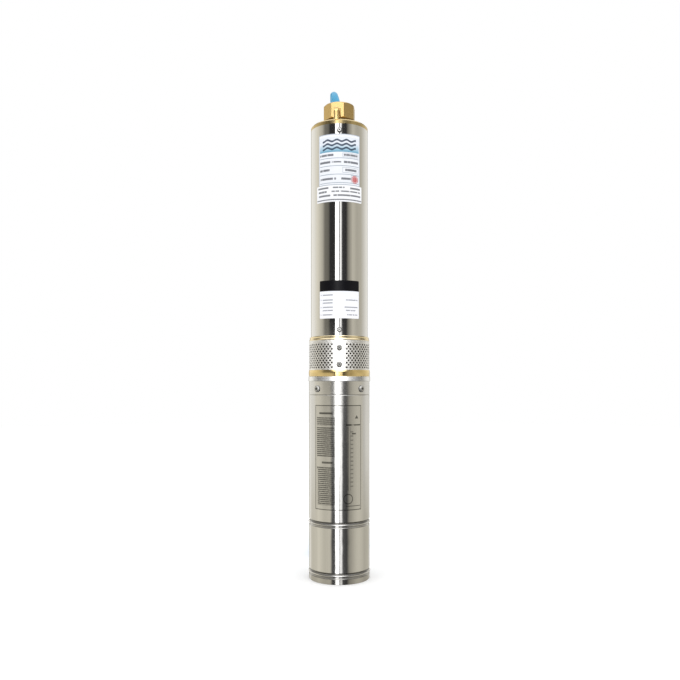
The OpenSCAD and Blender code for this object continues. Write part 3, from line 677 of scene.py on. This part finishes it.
def cable_curve(name, points, radius, sides):
    line = bpy.data.curves.new(name, "CURVE")
    line.dimensions = "3D"
    line.bevel_depth = radius
    line.bevel_resolution = sides
    line.use_fill_caps = True
    line.resolution_u = 8
    run = line.splines.new("BEZIER")
    run.bezier_points.add(len(points) - 1)
    for knot, point in zip(run.bezier_points, points):
        knot.co = point
        knot.handle_left_type = knot.handle_right_type = "AUTO"
    piece = bpy.data.objects.new(name, line)
    bpy.context.scene.collection.objects.link(piece)
    return piece


# Cores at the cable's end: tint, sideways and upward splay. A step is a share of the splay and a length.

CORES = {
    "core_brown": ((0.16, 0.06, 0.025), -0.0042, 0.0),
    "core_blue": ((0.02, 0.08, 0.42), 0.0024, 0.00306),
    "core_green": ((0.05, 0.27, 0.05), 0.0024, -0.00306),
}
CORE_STEPS = [(0.125, 0.004), (0.15, 0.004), (0.075, 0.004), (0.0, 0.003)]
CORE_START = 0.35
CORE_INSET = 0.001
BARE_FROM = 0.0142
BARE_LENGTH = 0.0065
BARE_SHARE = 0.62
TIP_ROUND = 0.0004


def core_piece(name, side, lift, cable):
    """One insulated core with its bared copper tip, swept along a short splayed path."""
    choose()
    start = (INNER_X * MM + side * CORE_START, CABLE_END * MM - CORE_INSET,
             LIFTED_RUN * MM + lift * CORE_START)
    bpy.ops.mesh.primitive_circle_add(vertices=16, radius=cable.core_diameter / 2, fill_type="NGON",
                                      location=start, rotation=(-math.pi / 2, 0, 0))
    piece = added(name)
    edit(piece)
    for splay, ahead in CORE_STEPS:
        extrude(side * splay, ahead, lift * splay)
    extrude(0, 0, 0)
    bpy.ops.transform.resize(value=(BARE_SHARE, BARE_SHARE, BARE_SHARE))
    extrude(0, BARE_LENGTH, 0)
    bpy.ops.mesh.bevel(offset=TIP_ROUND, segments=2, affect="EDGES")
    close()
    return piece


# Tie: its ratchet head sits over the gap between the two runs.

TIE_SLACK = 0.00003
TIE_HEAD_X = -0.0377
TIE_HEAD_WIDTH = 0.0062
TIE_HEAD_OVER = 0.0026
TIE_HEAD_HEIGHT = 0.0044
TIE_HEAD_LIFT = 0.0012
SLOT_RIM = 0.0012
SLOT_DEPTH = 0.0015
TAIL_INSET = 0.0003
TAIL_LENGTH = 0.006
TAIL_RISE = 0.0004
BAND_ROUND = 0.0003
HEAD_ROUND = 0.0004


def rounded(piece, width):
    rounding = piece.modifiers.new("rounding", "BEVEL")
    rounding.width = width
    rounding.segments = 2
    apply_all(piece)


def tie_band(cable, inner):
    """Band round the two runs, drawn as a ring that is pulled out sideways."""
    choose()
    bpy.ops.mesh.primitive_circle_add(vertices=40, radius=inner, fill_type="NOTHING",
                                      location=(-LOOP_HALF * MM, TIE_Y * MM, TIED_RUN * MM),
                                      rotation=(math.pi / 2, 0, 0))
    tie = added("cable_tie_band")
    edit(tie)
    pick(tie, "VERT", lambda co: co.x > -LOOP_HALF * MM + HAIR)
    bpy.ops.transform.translate(value=((INNER_X + LOOP_HALF) * MM, 0, 0))
    bpy.ops.mesh.select_all(action="SELECT")
    bpy.ops.transform.translate(value=(0, -cable.tie_width / 2, 0))
    extrude(0, cable.tie_width, 0)
    close()
    wall = tie.modifiers.new("wall", "SOLIDIFY")
    wall.thickness = cable.tie_thickness
    wall.offset = 1
    rounded(tie, BAND_ROUND)
    return tie


def tie_head(cable, inner):
    """Ratchet head with its slot, and the cut end of the band in it."""
    choose()
    top = TIED_RUN * MM + inner + cable.tie_thickness
    bpy.ops.mesh.primitive_cube_add(size=1, location=(TIE_HEAD_X, TIE_Y * MM, top + TIE_HEAD_LIFT))
    head = added("cable_tie_head", (TIE_HEAD_WIDTH, cable.tie_width + TIE_HEAD_OVER, TIE_HEAD_HEIGHT))
    edit(head)
    pick(head, "FACE", lambda co: co.x > TIE_HEAD_X + TIE_HEAD_WIDTH * 0.45)
    bpy.ops.mesh.inset(thickness=SLOT_RIM)
    extrude(-SLOT_DEPTH, 0, 0)
    bpy.ops.mesh.inset(thickness=TAIL_INSET)
    extrude(TAIL_LENGTH, 0, TAIL_RISE)
    bpy.ops.object.mode_set(mode="OBJECT")
    rounded(head, HEAD_ROUND)
    return head


class PUMP_OT_cable(bpy.types.Operator):
    """Lays the supply cable from the gland to its loop on the floor, with its tie and bared cores"""
    bl_idname = "pump.cable"
    bl_label = "Supply cable"

    def execute(self, context):
        cable = context.scene.pump_cable
        lead = cable_curve("supply_cable", cable_points(), cable.diameter / 2, 6)
        dress(lead, cable_sheath(cable.sheath))
        tie = self.tie(cable)
        cores = self.cores(cable)
        for piece in [lead, tie, *cores]:
            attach(piece, BODY)
        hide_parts("cable_lead", "cable_hank")
        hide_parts("cable_tie")
        return {"FINISHED"}

    def tie(self, cable):
        inner = cable.diameter / 2 + TIE_SLACK
        tie = tie_band(cable, inner)
        head = tie_head(cable, inner)
        choose(tie, head)
        bpy.ops.object.join()
        smooth(tie)
        dress(tie, soft_plastic("tie_nylon", BLACK_RUBBER, 0.42, scale=900))
        return tie

    def cores(self, cable):
        copper = turned_metal("bared_copper", (0.78, 0.37, 0.2), 0.3, 900)
        made = []
        for name, (tint, side, lift) in CORES.items():
            piece = core_piece(name, side, lift, cable)
            dress(piece, soft_plastic(name + "_sleeve", tint, 0.4))
            piece.data.materials.append(copper)
            for face in piece.data.polygons:
                face.material_index = 1 if face.center.y > CABLE_END * MM + BARE_FROM else 0
            smooth(piece)
            made.append(piece)
        return made


class PUMP_OT_camera(bpy.types.Operator):
    """Sets up the camera in front of the pump, where the photograph was taken"""
    bl_idname = "pump.camera"
    bl_label = "Camera"

    def execute(self, context):
        studio = context.scene.pump_studio
        choose()
        bpy.ops.object.camera_add(location=(0, -studio.distance, studio.height), rotation=(math.pi / 2, 0, 0))
        camera = context.object
        camera.name = "front_camera"
        camera.data.sensor_width = 36
        camera.data.lens = studio.focal
        camera.data.shift_x = studio.slide
        camera.data.shift_y = studio.rise
        context.scene.camera = camera
        return {"FINISHED"}


# Screws: tint, radius below which a head gets painted shade, and how much of its tint is left there.

GREY_SCREW = (0.42, 0.416, 0.403)
PALE_SCREW = (0.55, 0.545, 0.53)
BRIGHT_SCREW = (0.85, 0.845, 0.83)
SCREWS = {
    "upper_barrel_screws": (BRIGHT_SCREW, PUMP_RADIUS + 0.0021, 0.03),
    "lower_barrel_screws": (BRIGHT_SCREW, PUMP_RADIUS + 0.0021, 0.06),
    "strainer_screws": (GREY_SCREW, STRAINER_RADIUS + 0.0011, 0.12),
    "motor_cover_screws": (PALE_SCREW, MOTOR_RADIUS + 0.0008, 0.12),
}
# Nodes that the inner finishes leave alone.
OUTER = {"discharge_head", "intake_body", "pump_barrel", "motor_barrel", "strainer", "motor_top_cover",
         "bottom_cover", "cable_gland", "cable_lead", "cable_hank", "cable_tie", *SCREWS}


class PUMP_OT_outer_finish(bpy.types.Operator):
    """Gives the barrels, strainer, screws, castings and gland their finishes"""
    bl_idname = "pump.outer_finish"
    bl_label = "Outer finishes"

    def execute(self, context):
        finish = context.scene.pump_finish
        brass = head_brass(finish)
        for node in ["discharge_head", "intake_body"]:
            dress(nodes[node], brass)
        dress(nodes["pump_barrel"], pump_barrel_steel(finish))
        dress(nodes["motor_barrel"], motor_barrel_steel(finish))
        dress(nodes["strainer"], strainer_sheet(finish))
        cover = turned_metal("bright_cover", (0.97, 0.97, 0.97), 0.28, 1300, lean=0.36)
        dress(nodes["motor_top_cover"], cover)
        dress(nodes["bottom_cover"], turned_metal("base_cover", shaded(finish.steel, 0.85), 0.3, 900))
        for node, (tint, recess, recess_shade) in SCREWS.items():
            dress(nodes[node], turned_metal(node, tint, 0.4, 700, recess, recess_shade))
        dress(nodes["cable_gland"], soft_plastic("gland_rubber", BLACK_RUBBER, 0.5))
        return {"FINISHED"}


class PUMP_OT_inner_finish(bpy.types.Operator):
    """Gives the works inside the pump and motor their finishes"""
    bl_idname = "pump.inner_finish"
    bl_label = "Inner finishes"

    def execute(self, context):
        finish = context.scene.pump_finish
        by_slot = {
            "black_rubber": soft_plastic("seal_rubber", (0.013, 0.013, 0.014), 0.5),
            "cable_sheath": bpy.data.materials["blue_sheath"],
            "machined_steel": turned_metal("machined_steel", (0.56, 0.565, 0.57), 0.28, 3200),
            "screw_steel": turned_metal("small_screws", (0.5, 0.5, 0.49), 0.3, 900),
            "bearing_steel": turned_metal("ground_steel", (0.68, 0.69, 0.71), 0.12, 4000),
            "chromed_rotor": turned_metal("hard_chrome", (0.74, 0.75, 0.77), 0.09, 1500),
            "stator_elastomer": soft_plastic("moulded_rubber", (0.03, 0.03, 0.03), 0.55),
            "core_laminations": core_sheets("stacked_sheets", (0.36, 0.36, 0.37), 0.4),
            "copper_winding": enamelled_copper("varnished_copper", (0.55, 0.22, 0.09)),
            "lead_insulation": soft_plastic("lead_sleeve", (0.42, 0.03, 0.02), 0.4),
            "cast_aluminium": turned_metal("cast_aluminium", (0.6, 0.6, 0.61), 0.38, 500),
            "seal_ceramic": soft_plastic("seal_ceramic", (0.82, 0.79, 0.72), 0.2, scale=1200, relief=0.03),
            "seal_carbon": soft_plastic("seal_carbon", (0.03, 0.03, 0.032), 0.32, scale=1500, relief=0.03),
            "cage_brass": turned_metal("pressed_brass", shaded(finish.brass, 0.92), 0.22, 900),
            "polished_steel": turned_metal("drawn_tube", finish.steel, 0.22, 900),
        }
        for node, piece in nodes.items():
            if node not in OUTER:
                dress(piece, by_slot[slot_of[node]])
        return {"FINISHED"}


# Outlet thread.

THREAD_RADIUS = 0.0196
THREAD_PITCH = 0.002309
THREAD_BOTTOM = 0.7185
THREAD_TURNS = 11
THREAD_STEPS = 72
RIDGE_DEPTH = 0.0009
RIDGE_SHARE = 0.46


class PUMP_OT_outlet_thread(bpy.types.Operator):
    """Cuts the look of a pipe thread into the outlet: a ridge wound up its bore"""
    bl_idname = "pump.outlet_thread"
    bl_label = "Outlet thread"

    def execute(self, context):
        choose()
        bpy.ops.mesh.primitive_circle_add(vertices=4, radius=1, fill_type="NOTHING",
                                          location=(THREAD_RADIUS, 0, THREAD_BOTTOM),
                                          rotation=(math.pi / 2, 0, 0))
        ridge = added("outlet_thread", (RIDGE_DEPTH, THREAD_PITCH * RIDGE_SHARE, 1))
        wind = ridge.modifiers.new("wind", "SCREW")
        wind.axis = "Z"
        wind.angle = math.tau
        wind.screw_offset = THREAD_PITCH
        wind.iterations = THREAD_TURNS
        wind.steps = wind.render_steps = THREAD_STEPS
        wind.use_merge_vertices = True
        apply_all(ridge)
        edit(ridge)
        bpy.ops.mesh.fill_holes(sides=8)
        close()
        smooth(ridge, degrees=35)
        dress(ridge, nodes["discharge_head"].material_slots[0].material)
        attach(ridge, BODY)
        return {"FINISHED"}


# Stickers on the pump barrel.

STICKER_COLUMNS = 30
STICKER_LIFT = 0.00003
STICKER_CORNER = 0.0016
STICKER_JOINT = 0.0001
STICKER_SCALE = PUMP_RADIUS * 1000


def sticker(name, arc, low, high, film, material):
    """A rounded sheet, cut into columns, bent round the barrel and given the film's thickness."""
    choose()
    bpy.ops.mesh.primitive_plane_add(size=1, location=(0, 0, (low + high) / 2), rotation=(math.pi / 2, 0, 0))
    piece = added(name, (arc, high - low, 1))
    edit(piece)
    bpy.ops.mesh.bevel(offset=STICKER_CORNER, segments=5, affect="VERTICES")
    for column in range(1, STICKER_COLUMNS):
        bpy.ops.mesh.select_all(action="SELECT")
        across = arc * (column / STICKER_COLUMNS - 0.5)
        bpy.ops.mesh.bisect(plane_co=(across, 0, 0), plane_no=(1, 0, 0))
    bpy.ops.object.mode_set(mode="OBJECT")
    radius = PUMP_RADIUS + STICKER_LIFT
    bend = piece.modifiers.new("bend", "SIMPLE_DEFORM")
    bend.deform_method = "BEND"
    bend.deform_axis = "Z"
    bend.angle = arc / radius
    apply_all(piece)
    piece.location = (0, -radius, 0)
    wall = piece.modifiers.new("film", "SOLIDIFY")
    wall.thickness = film
    wall.offset = 1
    apply_all(piece)
    smooth(piece)
    dress(piece, material)
    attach(piece, BODY)


def printed(sheet, shade, gloss):
    """Film over the print, with faint creases."""
    crease = sheet.noise(sheet.place, scale=160, detail=3)
    rough = gloss + (crease - 0.5) * 0.1
    return sheet.surface({"Specular IOR Level": 0.2}, shade, rough, sheet.bump(crease, 0.05, 0.0001))


# Print on the stickers, in millimetres. A row of words is left, right, height, size, gaps and seed.

PLATE_RIM = (-33.4, 33.4, 612.3, 688.3)
PLATE_HEADER = (-32.5, 32.5, 661.8, 684.5)
WAVE_FIELD = (-27, 27, 662, 684)
WAVES = (679.2, 673.2, 667.2)
RULES = (652.4, 640.6, 627.6, 614.6)
BOXES = [(5, 31.5, 630.0, 638.4), (5, 31.5, 654.0, 660.4), (18.4, 31.5, 614.6, 626.8)]
STAMP = (25.0, 620.6)
STAMP_RADIUS = 6.0
STAMP_RING = 4.5
PLATE_WORDS = [
    (-32, -9, 657.3, 3.3, 0.36, 3), (7, 30, 657.3, 3.1, 0.38, 9), (-32, -14, 646.4, 3.4, 0.33, 14),
    (-12, 3, 646.4, 2.2, 0.42, 18), (7, 31, 646.4, 3.3, 0.34, 21), (-32, -15, 634.2, 3.3, 0.34, 27),
    (9, 28, 634.2, 3.4, 0.36, 33), (-32, -5, 620.9, 3.2, 0.36, 41), (3, 18, 620.9, 3.3, 0.34, 47),
]
STRIP_WORDS = [
    (-36, -17, 607.2, 2.7, 0.34, 2), (-10, 8, 607.4, 2.2, 0.4, 5), (17, 35, 606.6, 2.9, 0.3, 8),
    (-35, -20, 601.4, 2.9, 0.36, 11), (-12, 35, 601.5, 2.1, 0.4, 17), (-35, -14, 595.4, 2.8, 0.32, 23),
    (-9, 36, 595.5, 2.6, 0.34, 29), (-38, 38, 588.9, 1.8, 0.3, 37),
]
NOTICE_WORDS = [
    (-27, -10, 443.1, 1.8, 0.36, 5), (-27, -10, 435.4, 1.8, 0.36, 12), (10, 30, 435.4, 1.8, 0.38, 59),
    (-27, -10, 431.0, 1.8, 0.36, 19), (-27, -10, 424.4, 1.8, 0.36, 26), (8, 30, 424.4, 1.8, 0.38, 77),
    (-27, -10, 419.4, 1.8, 0.36, 33), (10, 26, 419.4, 1.8, 0.38, 86), (-27, -10, 412.8, 1.8, 0.36, 40),
    (12, 30, 412.8, 1.8, 0.38, 95),
]
NOTICE_DOTS = [(-30.6, -29.4, up - 0.9, up + 0.9) for up in (443.1, 435.4, 424.4, 412.8)]
NOTICE_HEADER = 449.1


def plate_print():
    """Pale plate: a header with plain waves on fading blue, ruled rows of bars, boxes and a round stamp."""
    plate = Sheet("rating_plate_print", STICKER_SCALE)
    pale = plate.blend(plate.spread(plate.up, 612, 686), (0.80, 0.82, 0.86), (0.84, 0.86, 0.90))
    deep = plate.blend(plate.spread(plate.up, 661, 665), (0.10, 0.30, 0.45), (0.26, 0.48, 0.62))
    blue = plate.blend(plate.spread(plate.up, 664, 676), deep, (0.76, 0.80, 0.87))
    shade = plate.blend(plate.window(*PLATE_HEADER), pale, blue)
    swell = plate.up + plate.across.math("SINE", plate.across * 0.42) * 1.3
    waves = any_of([abs(swell - up) < 1.5 for up in WAVES]) * plate.window(*WAVE_FIELD)
    shade = plate.blend(waves * 0.92, shade, (0.03, 0.05, 0.09))
    lines = [plate.window(*PLATE_HEADER[:2], up - 0.45, up + 0.45) for up in RULES]
    lines += [plate.outline(*box, 0.5) for box in BOXES]
    shade = plate.blend(any_of(lines) * 0.85, shade, (0.19, 0.25, 0.33))
    shade = plate.blend(plate.rows(PLATE_WORDS), shade, (0.025, 0.03, 0.05))
    far = plate.distance(*STAMP)
    stamp = (far < STAMP_RADIUS) * (1 - (abs(far - STAMP_RING) < 0.4) * 0.6)
    smudge = plate.spread(plate.noise(plate.place, scale=700, detail=2), 0.3, 0.6, 0.65, 0.97)
    shade = plate.blend(stamp * smudge, shade, (0.52, 0.06, 0.055))
    edge = 1 - plate.window(*PLATE_RIM)
    shade = plate.blend(edge * 0.7, shade, (0.27, 0.32, 0.40))
    return printed(plate, shade, 0.36)


def strip_print():
    """White strip with four rows of bars."""
    strip = Sheet("lower_strip_print", STICKER_SCALE)
    paper = strip.blend(strip.spread(strip.up, 588, 609), (0.84, 0.85, 0.88), (0.88, 0.89, 0.91))
    return printed(strip, strip.blend(strip.rows(STRIP_WORDS), paper, (0.03, 0.033, 0.05)), 0.38)


def notice_print():
    """White notice with a bare black header and short rows of bars in two columns."""
    notice = Sheet("notice_print", STICKER_SCALE)
    paper = notice.blend(notice.spread(notice.up, 407, 448), (0.88, 0.88, 0.91), (0.86, 0.875, 0.93))
    marks = notice.rows(NOTICE_WORDS).either(notice.windows(NOTICE_DOTS) * 0.8)
    shade = notice.blend(marks * 0.85, paper, (0.10, 0.11, 0.14))
    shade = notice.blend(notice.up > NOTICE_HEADER, shade, (0.004, 0.004, 0.006))
    return printed(notice, shade, 0.33)


class PUMP_OT_rating_plate(bpy.types.Operator):
    """Sticks the rating plate and the strip below it on the pump barrel"""
    bl_idname = "pump.rating_plate"
    bl_label = "Rating plate"

    def execute(self, context):
        sizes = context.scene.pump_stickers
        sticker("rating_plate", sizes.plate_arc, sizes.plate_bottom, sizes.plate_top,
                sizes.film, plate_print())
        sticker("lower_strip", sizes.strip_arc, sizes.strip_bottom, sizes.plate_bottom - STICKER_JOINT,
                sizes.film, strip_print())
        return {"FINISHED"}


class PUMP_OT_notice(bpy.types.Operator):
    """Sticks the notice low on the pump barrel"""
    bl_idname = "pump.notice"
    bl_label = "Notice"

    def execute(self, context):
        sizes = context.scene.pump_stickers
        sticker("notice", sizes.notice_arc, sizes.notice_bottom, sizes.notice_top,
                sizes.film, notice_print())
        return {"FINISHED"}


# Studio: a bright key strip behind the camera between black flags, with warm grey walls at the sides.

# A wall that the metal mirrors has panels of a tint, then bearings in degrees from the camera and brightness.

WARM = (1.0, 0.95, 0.81)
CREAM = (1.0, 0.98, 0.92)
PLAIN = (1.0, 1.0, 1.0)
KEY = 3.0
BEHIND_LEFT = [(PLAIN, (-180, 1.5), (-174, 1.5)), (WARM, (-169, 0.4), (-160, 0.45))]
BEHIND_RIGHT = [(PLAIN, (174, 1.5), (180, 1.5))]
PUMP_LEVEL = [
    (CREAM, (-152, 1.0), (-125, 0.95)), (WARM, (-97, 0.8), (-72, 0.52), (-60, 0.2), (-45, 0.16)),
    (PLAIN, (-37, 0.03), (-17, 0.03), (-13, KEY), (-4, KEY), (-1.5, 0.3), (1.5, 0.3), (4, 1.3), (7.5, 1.3),
     (11, 0.05), (28, 0.03)),
    (WARM, (37, 0.26), (56, 0.6), (75, 0.48), (97, 0.53)), (CREAM, (125, 0.78), (152, 0.95)),
    (WARM, (160, 0.45), (169, 0.4)),
]
MOTOR_LEVEL = [
    (CREAM, (-150, 0.95)),
    (WARM, (-128, 0.63), (-100, 0.65), (-85, 0.75), (-55, 0.58), (-34, 0.63)),
    (PLAIN, (-27, 0.08), (-16, 0.08), (-12, KEY), (-3, KEY), (-1, 0.5), (2.5, 0.5), (5, 1.4), (8, 1.1),
     (13, 0.1), (29, 0.05)),
    (WARM, (39, 0.34), (60, 0.53), (73, 0.63), (92, 0.6), (108, 0.5), (145, 0.55)), (CREAM, (153, 0.75)),
    (WARM, (161, 0.4), (169, 0.4)),
]
SHOULDER_LEVEL = [
    (CREAM, (-150, 0.95), (-128, 0.82), (-112, 0.8)),
    (WARM, (-97, 0.7), (-85, 0.72), (-55, 0.56), (-35, 0.62)),
    (PLAIN, (-28, 0.22), (-18.5, 0.2), (-14.5, KEY), (-2, KEY), (0, 1.4), (3, 1.3), (5, 1.5), (9, 1.5),
     (12.5, 0.12), (28, 0.07)),
    (WARM, (38, 0.36), (60, 0.53), (73, 0.63), (90, 0.6)),
    (CREAM, (108, 0.6), (122, 0.76), (145, 0.75), (153, 0.78)),
    (WARM, (162, 0.4)),
]
# A mirrored ray's slope at which the motor's walls give way to its shoulder's, and those to the pump's.
TO_SHOULDER = (-0.19, -0.09)
TO_PUMP = (0.0, 0.06)
# A softbox hangs above the camera, between these bearings and slopes.
OVERHEAD_BEARING = [(-38, 0.0), (-16, 1.0), (16, 1.0), (38, 0.0)]
OVERHEAD_SLOPE = [(0.4, 0.0), (0.48, 1.0), (0.82, 1.0), (0.92, 0.0)]
# SLOPES is how much of a wall is left out at each slope, and PLAIN_AT the even brightness in its place.
SLOPES = [(-1.0, 0.8), (-0.55, 0.75), (-0.36, 0.0), (0.38, 0.0), (0.44, 1.0), (1.0, 1.0)]
PLAIN_AT = [(-1.0, 0.3), (-0.6, 0.12), (-0.3, 0.12), (0.44, 0.07), (0.56, 0.09), (0.66, 1.15), (0.84, 1.15),
            (1.0, 1.1)]
# Lamps: place, size and power.
LAMPS = {"left_softbox": ((-1.6, -1.9, 1.7), 1.4, 4), "right_softbox": ((1.7, -1.8, 1.5), 1.4, 3.5)}
FLOOR_GLOW = 0.13


class PUMP_OT_stage(bpy.types.Operator):
    """Sets the pale floor, the soft lights and the studio that the metal mirrors"""
    bl_idname = "pump.stage"
    bl_label = "Studio"

    def execute(self, context):
        studio = context.scene.pump_studio
        choose()
        bpy.ops.mesh.primitive_circle_add(vertices=96, radius=studio.floor_size / 2, fill_type="NGON")
        floor = context.object
        floor.name = "pale_floor"
        floor.visible_glossy = False
        paint = Finish("pale_floor")
        cloud = paint.noise(paint.place, scale=3, detail=3)
        shade = paint.blend(cloud, (0.93, 0.93, 0.93), (0.95, 0.95, 0.95))
        matt = {"Roughness": 0.9, "Specular IOR Level": 0.0, "Emission Color": (1, 1, 1),
                "Emission Strength": FLOOR_GLOW}
        dress(floor, paint.surface(matt, shade))
        for name, (place, size, power) in LAMPS.items():
            bpy.ops.object.light_add(type="AREA", location=place)
            lamp = context.object
            lamp.name = name
            lamp.data.size = size
            lamp.data.energy = power
            lamp.visible_glossy = False
            aim = lamp.constraints.new("TRACK_TO")
            aim.target = nodes["pump_barrel"]
            aim.track_axis = "TRACK_NEGATIVE_Z"
            aim.up_axis = "UP_Y"
        self.world(context, studio)
        context.scene.view_settings.view_transform = "Standard"
        return {"FINISHED"}

    def world(self, context, studio):
        world = bpy.data.worlds.new("studio")
        context.scene.world = world
        world.use_nodes = True
        sky = Wiring(world.node_tree, "Generated")
        bearing = sky.angle() / math.tau + 0.5
        slope = sky.z * 0.5 + 0.5

        def ramp(stops, factor):
            return sky.node("ShaderNodeValToRGB", {"stops": stops}, {0: factor})

        def by_bearing(stops):
            return ramp([((angle + 180) / 360, shade) for angle, shade in stops], bearing)

        def by_slope(stops):
            return ramp([((at + 1) / 2, shade) for at, shade in stops], slope)

        def walls(panels):
            whole = BEHIND_LEFT + panels + BEHIND_RIGHT
            return by_bearing([(angle, shaded(tint, bright / KEY))
                               for tint, *stops in whole for angle, bright in stops])

        motor = sky.blend(sky.spread(sky.z, *TO_SHOULDER), walls(MOTOR_LEVEL), walls(SHOULDER_LEVEL))
        around = sky.blend(sky.spread(sky.z, *TO_PUMP), motor, walls(PUMP_LEVEL))
        plain = by_slope([(at, bright / KEY) for at, bright in PLAIN_AT])
        softbox = by_bearing(OVERHEAD_BEARING) * by_slope(OVERHEAD_SLOPE)
        mirrored = sky.blend(softbox, sky.blend(by_slope(SLOPES), around, plain), PLAIN)
        glossy = sky.node("ShaderNodeLightPath", out="Is Glossy Ray")
        camera = sky.node("ShaderNodeLightPath", out="Is Camera Ray")
        strength = sky.spread(camera, 0, 1, studio.daylight, 1.0)
        even = sky.node("ShaderNodeBackground", None, {0: (1, 1, 1, 1), 1: strength})
        bright = sky.node("ShaderNodeBackground", None, {0: mirrored, 1: KEY})
        both = sky.node("ShaderNodeMixShader", None, {0: glossy, 1: even, 2: bright})
        end = sky.tree.nodes.new("ShaderNodeOutputWorld")
        sky.tree.links.new(both.socket, end.inputs[0])


OPERATORS = [PUMP_OT_camera, PUMP_OT_cable, PUMP_OT_outer_finish, PUMP_OT_inner_finish,
             PUMP_OT_outlet_thread, PUMP_OT_rating_plate, PUMP_OT_notice, PUMP_OT_stage]
GROUPS = {"pump_cable": PumpCable, "pump_finish": PumpFinish, "pump_stickers": PumpStickers,
          "pump_studio": PumpStudio}


class PUMP_PT_panel(bpy.types.Panel):
    """Lists the pump's sizes and the steps that dress it"""
    bl_label = "Borehole pump"
    bl_idname = "PUMP_PT_panel"
    bl_space_type = "VIEW_3D"
    bl_region_type = "UI"
    bl_category = "Pump"

    def draw(self, context):
        for group in GROUPS:
            box = self.layout.box()
            values = getattr(context.scene, group)
            for name in values.bl_rna.properties.keys():
                if name not in {"rna_type", "name"}:
                    box.prop(values, name)
        for operator in OPERATORS:
            self.layout.operator(operator.bl_idname)


def register():
    for kind in [*GROUPS.values(), *OPERATORS, PUMP_PT_panel]:
        bpy.utils.register_class(kind)
    for name, kind in GROUPS.items():
        setattr(bpy.types.Scene, name, PointerProperty(type=kind))


def unregister():
    for name in GROUPS:
        delattr(bpy.types.Scene, name)
    for kind in reversed([*GROUPS.values(), *OPERATORS, PUMP_PT_panel]):
        bpy.utils.unregister_class(kind)


def main():
    register()
    bpy.ops.pump.camera()
    bpy.ops.pump.cable()
    bpy.ops.pump.outer_finish()
    bpy.ops.pump.inner_finish()
    bpy.ops.pump.outlet_thread()
    bpy.ops.pump.rating_plate()
    bpy.ops.pump.notice()
    bpy.ops.pump.stage()
    choose()


if __name__ == "__main__":
    main()
